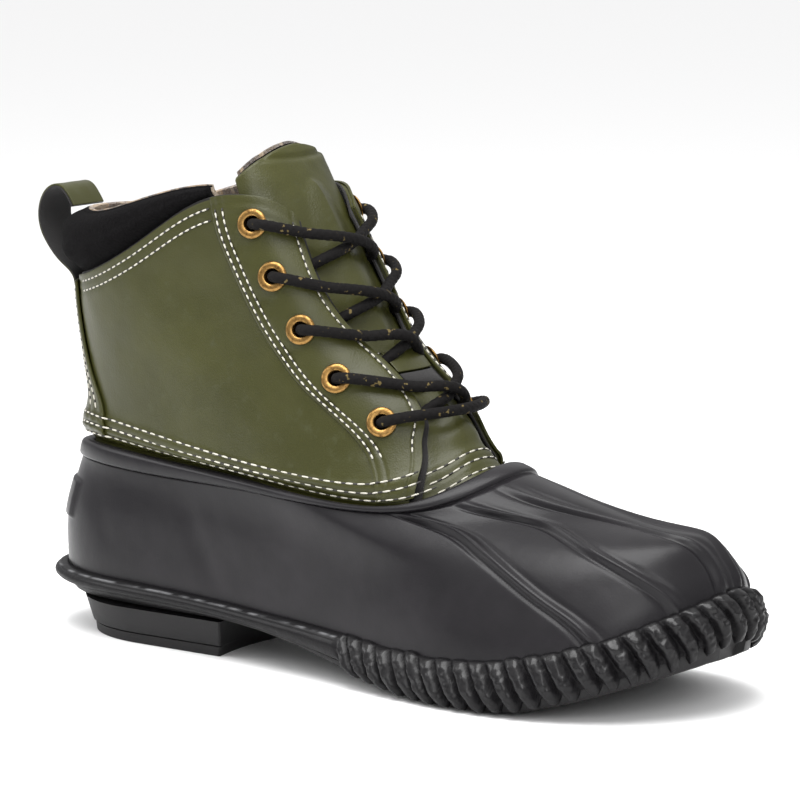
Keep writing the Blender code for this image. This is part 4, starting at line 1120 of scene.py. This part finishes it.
# Collar: a black felt cuff filled with foam, sewn inside the topline and swelling out over it. It is
# tallest at the back and runs out at the eyestays.
COLLAR_TOP = ((-70, 166), (-54, 166.5), (-30, 167), (-10, 171), (10, 177), (26, 181), (38, 182.5))
COLLAR_REACH = 2.05
COLLAR_TALLEST = 26.5
COLLAR_LEAST = 2.4
SEWN_EDGE = 1.4
COLLAR_COLUMNS = ("rise", "bulge", "depth")
COLLAR_ROWS = ((-6.0, 0.0, 2.6), (-0.6, 0.0, 3.6), (1.0, 0.05, 4.0), (0.25, 0.95, 5.6), (0.5, 1.12, 6.6),
               (0.75, 1.08, 7.0), (0.93, 0.62, 5.6), (1.0, 0.1, 3.8))
share = np.linspace(-1, 1, 261)
collar_turn = COLLAR_REACH * share
edge_x = form(collar_turn, level_at(collar_turn, topline))[:, 0]
low_z = topline(edge_x)
high_z = np.maximum(table(COLLAR_TOP, edge_x), low_z + COLLAR_LEAST)
tall = np.clip((high_z - low_z) / COLLAR_TALLEST, 0, 1)
heights, outs, depths = [], [], []
for row in COLLAR_ROWS:
    part = dict(zip(COLLAR_COLUMNS, row))
    above = part["bulge"] > 0.06
    rise = SEWN_EDGE + (high_z - low_z - SEWN_EDGE) * part["rise"] if above else part["rise"]
    heights.append(low_z + rise)
    outs.append(-(SHELL_WALL + 0.55) + part["bulge"] * (1.7 + 6.9 * tall))
    depths.append(part["depth"] * (0.55 + 0.45 * tall))
picks = np.linspace(0, len(COLLAR_ROWS) - 1, 58)
weights = cardinal(np.arange(len(COLLAR_ROWS)), picks)
collar_level = np.array([level_at(collar_turn, z) for z in weights @ np.array(heights)])
outs, depths = weights @ np.array(outs), weights @ np.array(depths)
turn = np.tile(collar_turn, (58, 1))
skin = form(turn, collar_level, outs)
outs = outs + 0.5 * rough(skin, 14.0) + 0.22 * rough(skin, 5.0, 5.0)
black_felt = Finish("black_felt", (0.003, 0.0027, 0.003), 0.95, sheen_weight=0.012, sheen_roughness=0.6,
                    specular_ior_level=0.03)
fibres = black_felt.noise(2400, 5.0, 0.7)
tufts = black_felt.cells(900, "SMOOTH_F1")
black_felt.paint(colour=black_felt.mix(fibres.step(0.5, 0.75), (0.003, 0.0027, 0.003), (0.012, 0.011, 0.011)))
black_felt.bump((fibres, 0.0012, 0.8), (tufts, 0.001, 0.5))
collar = padded_skin("collar_cuff", turn, collar_level, outs, depths, 0.9, black_felt.material)
keep(collar, "collar_felt", "collar")

# Lining: plaid fleece, tan with brown and black bands, inside the cuff and down into the shaft. Its top
# edge shows a little above the felt.
LINING_TOP = 1.3
LINING_FOOT = 3.4
FLEECE_THICK = 2.2


def by_column(at, level, values):
    """A sheet's values at other levels, column by column."""
    return np.array([np.interp(at[:, c], level[:, c], values[:, c]) for c in range(at.shape[1])]).T


plaid_fleece = Finish("plaid_fleece", (0.20, 0.13, 0.07), 0.95, sheen_weight=0.4, sheen_roughness=0.5)
seam_at = plaid_fleece.sewn()
across = plaid_fleece.add("ShaderNodeSeparateXYZ", None, {"Vector": seam_at}, output="X")
upward = plaid_fleece.add("ShaderNodeSeparateXYZ", None, {"Vector": seam_at}, output="Y")
wide = across.maths("SINE", across * 260.0).step(0.1, 0.4)
high_band = upward.maths("SINE", upward * 300.0).step(0.1, 0.4)
thin = across.maths("SINE", across * 520.0).step(0.75, 0.9)
weave = plaid_fleece.mix(wide * 0.75, (0.30, 0.20, 0.11), (0.055, 0.03, 0.018))
weave = plaid_fleece.mix(high_band * 0.7, weave, (0.025, 0.017, 0.013))
weave = plaid_fleece.mix(thin * 0.6, weave, (0.38, 0.28, 0.17))
plaid_fleece.paint(colour=weave)
plaid_fleece.bump((plaid_fleece.noise(1100, 5.0, 0.75), 0.0018, 1.0), (plaid_fleece.cells(520), 0.0012, 0.6))
inner_top = level_at(collar_turn, high_z + LINING_TOP)
rows = np.linspace(0, 1, 60)[:, None]
level = LINING_FOOT + (inner_top - LINING_FOOT) * rows
turn = np.tile(collar_turn, (60, 1))
depth_now = by_column(level, collar_level, outs - depths)
out = depth_now - 0.3 + 0.25 * rough(form(turn, level), 4.0) + 1.5 * rows ** 30
lining = grid("fleece_lining", form(turn, level, out), plaid_fleece.material)
give_wall(lining, FLEECE_THICK, 0.7)
keep(lining, "insole_fleece")

# Tongue lining: black felt over plaid fleece, sewn in behind the tongue's olive face. Both stand a
# little above its top edge, the fleece above the felt.
for name, cloth, rise, inward, thick in (("felt", black_felt, 1.5, 1.8, 1.5),
                                         ("fleece", plaid_fleece, 3.0, 3.2, 2.6)):
    foot = tongue_level[110]
    top = tongue_level[-1] + rise / 15.5
    level = foot + (top - foot) * np.linspace(0, 1, 24)[:, None]
    turn = np.tile(tongue_turn[-1] * 0.97 + FRONT * 0.03, (24, 1))
    out = by_column(level, tongue_level, tongue_out) - inward
    out = out + 0.35 * rough(form(turn, level), 5.0, 3.0)
    depth = np.full(level.shape, thick)
    piece = padded_skin("tongue_" + name, turn, level, out, depth, 0.5, cloth.material)
    keep(piece, "collar_felt" if name == "felt" else "insole_fleece")

# Insole: a thin pad with the same plaid fleece on it, cut to the inside of the shell. It lies loose on
# the shell's floor.
INSOLE_GAP = 0.9
station = np.arccos(1 - 2 * np.linspace(0.008, 0.985, 160))
sides = (station, TURN - station)
near_low, far_low = (form(side, 0.0, -SHELL_WALL - INSOLE_GAP) + (0.0, 0.0, 0.35) for side in sides)
near_high, far_high = (form(side, 0.3, -SHELL_WALL - INSOLE_GAP - 0.3) for side in sides)
t = np.linspace(0, 1, 40)[None, :, None]
top_face = near_high[:, None] * (1 - t) + far_high[:, None] * t
low_face = near_low[:, None] * (1 - t) + far_low[:, None] * t
insole = grid("insole_pad", np.concatenate([low_face, top_face[:, ::-1]], axis=1), plaid_fleece.material,
              ring=True)
close_ends()
keep(insole, "insole_fleece", "insole")

# Back stay: a flared strip of the olive leather over the back seam, sewn down both sides, from the lip
# up to the topline.
STAY_HALF = ((76, 26.5), (84, 26), (91, 24.5), (100, 22), (110, 19.5), (124, 18), (140, 17.5))
STAY_THICK = 1.2
STAY_ROWS = (2.2, 5.4)
STAY_LIFT = 0.7
STAY_FROM = 5.24
STAY_TOP = 138.6
sample = np.linspace(-1.15, 1.15, 161)
stay_level = np.linspace(STAY_FROM, level_at(0.0, STAY_TOP)[0], 90)
stay_turn = []
for v in stay_level:
    ring_points = form(sample, v)
    half = table(STAY_HALF, ring_points[80, 2])[()]
    stay_turn.append(np.interp(half * np.linspace(-1, 1, 70), -ring_points[:, 1], sample))
turn = np.array(stay_turn)
level = np.repeat(stay_level[:, None], 70, axis=1)
stay_skin = form(turn, level)
stay_half = table(STAY_HALF, stay_skin[:, 35, 2])
high = above_lip(turn, level)
inset = np.minimum(np.arange(70), np.arange(70)[::-1])[None, :] / 69.0 * 2 * stay_half[:, None]
out = under_lip(level) + BAND_STEP * ease(13.0, 10.6, high) + STAY_LIFT + STAY_THICK
out += 0.25 * rough(stay_skin, 20.0)
out -= 0.3 * ridge(inset - STAY_ROWS[0], 0.7) + 0.3 * ridge(inset - STAY_ROWS[1], 0.7)
out -= 0.25 * ease(1.0, 0.0, inset)
for row in BAND_ROWS:
    out -= 0.35 * ridge(high - row, 0.75)
back_stay = grid("back_stay_strip", form(turn, level, out), olive_leather.material)
give_wall(back_stay, STAY_THICK, 0.3)
keep(back_stay, "green_leather", "back_stay")

# Pull loop: a strap of the olive leather with a black lining. Its foot lies on the top of the back
# stay, and it stands out in a loop and comes back to the collar's top.
LOOP_PATH = ((-55.65, 135.3), (-55.8, 138.6), (-58.0, 141.8), (-62.3, 145.2), (-67.5, 150.4), (-71.6, 157.5),
             (-72.4, 165.0), (-69.0, 172.0), (-63.0, 174.6), (-58.0, 172.0), (-54.6, 167.0))
LOOP_WIDTH = 18.0
LOOP_CURL = 19.0
LOOP_THICK = 0.75
across = np.linspace(-LOOP_WIDTH / 2, LOOP_WIDTH / 2, 36)
fine = cardinal(np.arange(len(LOOP_PATH)), np.linspace(0, len(LOOP_PATH) - 1, 110)) @ np.array(LOOP_PATH)
heading = np.gradient(fine, axis=0)
heading /= np.linalg.norm(heading, axis=1)[:, None]
side_way = np.stack([heading[:, 1], -heading[:, 0]], axis=1)


def strap(shift):
    """Rows of the loop's strap at a distance from its middle; its foot hugs the back stay."""
    made = []
    for i, (point, way) in enumerate(zip(fine, side_way)):
        curl = across ** 2 / (2 * LOOP_CURL) * max(0.0, 1 - i / 38)
        at = point - way * shift
        made.append(np.stack([at[0] + curl, across, np.full(36, at[1])], axis=1))
    return np.array(made)


face = strap(LOOP_THICK)
loop_out = grid("pull_loop_strap", face + (0.12 * rough(face, 7.0))[..., None], olive_leather.material)
outward(loop_out, (-1.0, 0.0, 0.0))
give_wall(loop_out, LOOP_THICK, 0.2)
keep(loop_out, "green_leather", "pull_loop")
loop_in = grid("pull_loop_lining", strap(-0.05)[6:] * (1.0, 1.05, 1.0), lining_cloth.material)
outward(loop_in, (-1.0, 0.0, 0.0))
give_wall(loop_in, LOOP_THICK, 0.2)
keep(loop_in, "green_leather")

# Stitches: long white stitches of heavy thread with short black marks between them, sunk into the
# leather along the bottom band, the topline, the eyestays, the back stay and the tongue's seam.
STITCH_WIDTH = 0.36
STITCH_LIFT = {"white": 0.06, "black": 0.03}
bpy.ops.object.select_all(action="DESELECT")
bpy.ops.mesh.primitive_uv_sphere_add(segments=8, ring_count=6, radius=1.0)
seed_stitch = bpy.context.object
seed_points = np.array([tuple(v.co) for v in seed_stitch.data.vertices])
seed_faces = [tuple(f.vertices) for f in seed_stitch.data.polygons]
bpy.data.objects.remove(seed_stitch)
seed_points[:, 2] = np.sign(seed_points[:, 2]) * np.abs(seed_points[:, 2]) ** 0.6
stitch_places = {"white": [], "black": []}


def sew(turn, level, out, pitch, white):
    """Marks stitches along a line over the last: a white one of length `white`, then a black one."""
    line = form(turn, level, out)
    out_way = form(turn, level, out + 1.0) - line
    run = run_along(line)
    for start in np.arange(pitch * 0.4, run[-1] - pitch, pitch):
        for kind, low, high in (("white", start, start + white), ("black", start + white, start + pitch)):
            ends = np.array([[np.interp(at, run, line[:, i]) for i in range(3)] for at in (low, high)])
            lean = np.array([np.interp((low + high) / 2, run, out_way[:, i]) for i in range(3)])
            stitch_places[kind].append((ends[0], ends[1], lean))


def above_lip_level(turn, height):
    """Level at a height in millimetres above the shell lip's top edge."""
    return LIP_LEVEL + height / np.maximum(above_lip(turn, LIP_LEVEL + 1.0), 1.0)


def at_inset(inset_by, way, values):
    """An eyestay's values, row by row, at a distance along its rows."""
    order = -1 if way[0, 0] > way[0, -1] else 1
    return np.array([np.interp(inset_by, w[::order], v[::order]) for w, v in zip(way, values)])


round_back = np.linspace(-1.02, 1.02, 500)
for height in BAND_ROWS:
    turn = round_back * front_turn(5.6) * 0.995
    level = above_lip_level(turn, height)
    on_stay = ease(0.80, 0.74, np.abs(turn)) * (STAY_THICK + 0.75)
    on_band = (np.abs(turn) > np.interp(level, fine_level, rear_line)) * EYESTAY_STEP
    band_out = under_lip(level) + BAND_STEP * ease(13.0, 10.6, height) - 0.30 + on_stay + on_band
    sew(turn, level, band_out, 5.0, 3.1)
    turn = FRONT + np.linspace(-0.62, 0.62, 240) * (FRONT - front_turn(5.4)) * 1.5
    level = above_lip_level(turn, height)
    keep_in = np.abs(turn - FRONT) < FRONT - front_turn(level) - 0.02
    vamp_out = under_lip(level) - TONGUE_DEPTH + TONGUE_RISE * stands_proud(turn, level)
    sew(turn[keep_in], level[keep_in], vamp_out[keep_in] - 0.1, 5.0, 3.1)
for drop in TOP_ROWS:
    shares = np.linspace(-0.97, 0.97, 420)
    turn, level = shaft_rows(shares, 0.0, -drop * LEVEL_PER_MM, 2, 2)
    turn, level = turn[-1], level[-1]
    keep_in = (np.abs(turn) < np.interp(level, fine_level, rear_line)) & (np.abs(turn) > 0.62)
    for half in (turn < 0, turn > 0):
        some = keep_in & half
        sew(turn[some], level[some], np.full(some.sum(), -0.12), 3.3, 2.1)
for far in (False, True):
    turn, level = eyestay_band(far)
    from_front, from_rear = across_stay(turn, level)
    for inset_by, way in ((REAR_ROWS[0], from_rear), (REAR_ROWS[1], from_rear), (FRONT_ROW, from_front)):
        line_turn = at_inset(inset_by, way, turn)[20:146]
        line_level = at_inset(inset_by, way, level)[20:146]
        sew(line_turn, line_level, under_lip(line_level) + EYESTAY_STEP - 0.22, 3.1, 1.9)
for inset_by in STAY_ROWS:
    for side in (-1, 1):
        half = side * (stay_half - inset_by)
        turn = np.array([np.interp(h, -p[:, 1], t) for h, p, t in zip(half, stay_skin, stay_turn)])
        line_out = under_lip(stay_level) + STAY_LIFT + STAY_THICK - 0.2
        sew(turn[22:], stay_level[22:], line_out[22:], 3.3, 2.1)
seam_turn = FRONT + np.linspace(-0.5, 0.5, 60)
seam_level = level_at(seam_turn, SEAM_HEIGHT)
seam_out = -TONGUE_DEPTH + TONGUE_RISE * stands_proud(seam_turn, seam_level) - 0.2
sew(seam_turn, seam_level, seam_out, 3.3, 0.2)

white_thread = Finish("white_thread", (0.46, 0.44, 0.38), 0.7, sheen_weight=0.1)
white_thread.bump((white_thread.noise(3500, 2.0), 0.0002, 0.6))
# The short black marks that lie between the white stitches.
black_stitch_gap = Finish("black_stitch_gap", (0.02, 0.018, 0.016), 0.6)
black_stitch_gap.bump((black_stitch_gap.noise(3500, 2.0), 0.0002, 0.6))
for kind, thread in (("white", white_thread), ("black", black_stitch_gap)):
    points, faces = [], []
    for start, end, lean in stitch_places[kind]:
        along = end - start
        length = np.linalg.norm(along)
        along /= length
        lean = lean - along * lean.dot(along)
        lean /= np.linalg.norm(lean)
        wide_way = np.cross(along, lean)
        shape = (seed_points[:, :1] * wide_way * STITCH_WIDTH + seed_points[:, 1:2] * lean * STITCH_WIDTH
                 + seed_points[:, 2:] * along * (length / 2 + 0.1))
        base = len(points) * len(seed_points)
        points.append((start + end) / 2 + lean * STITCH_LIFT[kind] + shape)
        faces += [tuple(i + base for i in face) for face in seed_faces]
    data = bpy.data.meshes.new("stitches_" + kind)
    data.from_pydata((np.concatenate(points) * MM).tolist(), [], faces)
    stitches = bpy.data.objects.new("stitches_" + kind, data)
    bpy.context.scene.collection.objects.link(stitches)
    data.polygons.foreach_set("use_smooth", [True] * len(data.polygons))
    data.materials.append(thread.material)
    keep(stitches, "green_leather")

size = {"cad": [list(corner) for corner in cad_box], "visual": [list(corner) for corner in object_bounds()]}
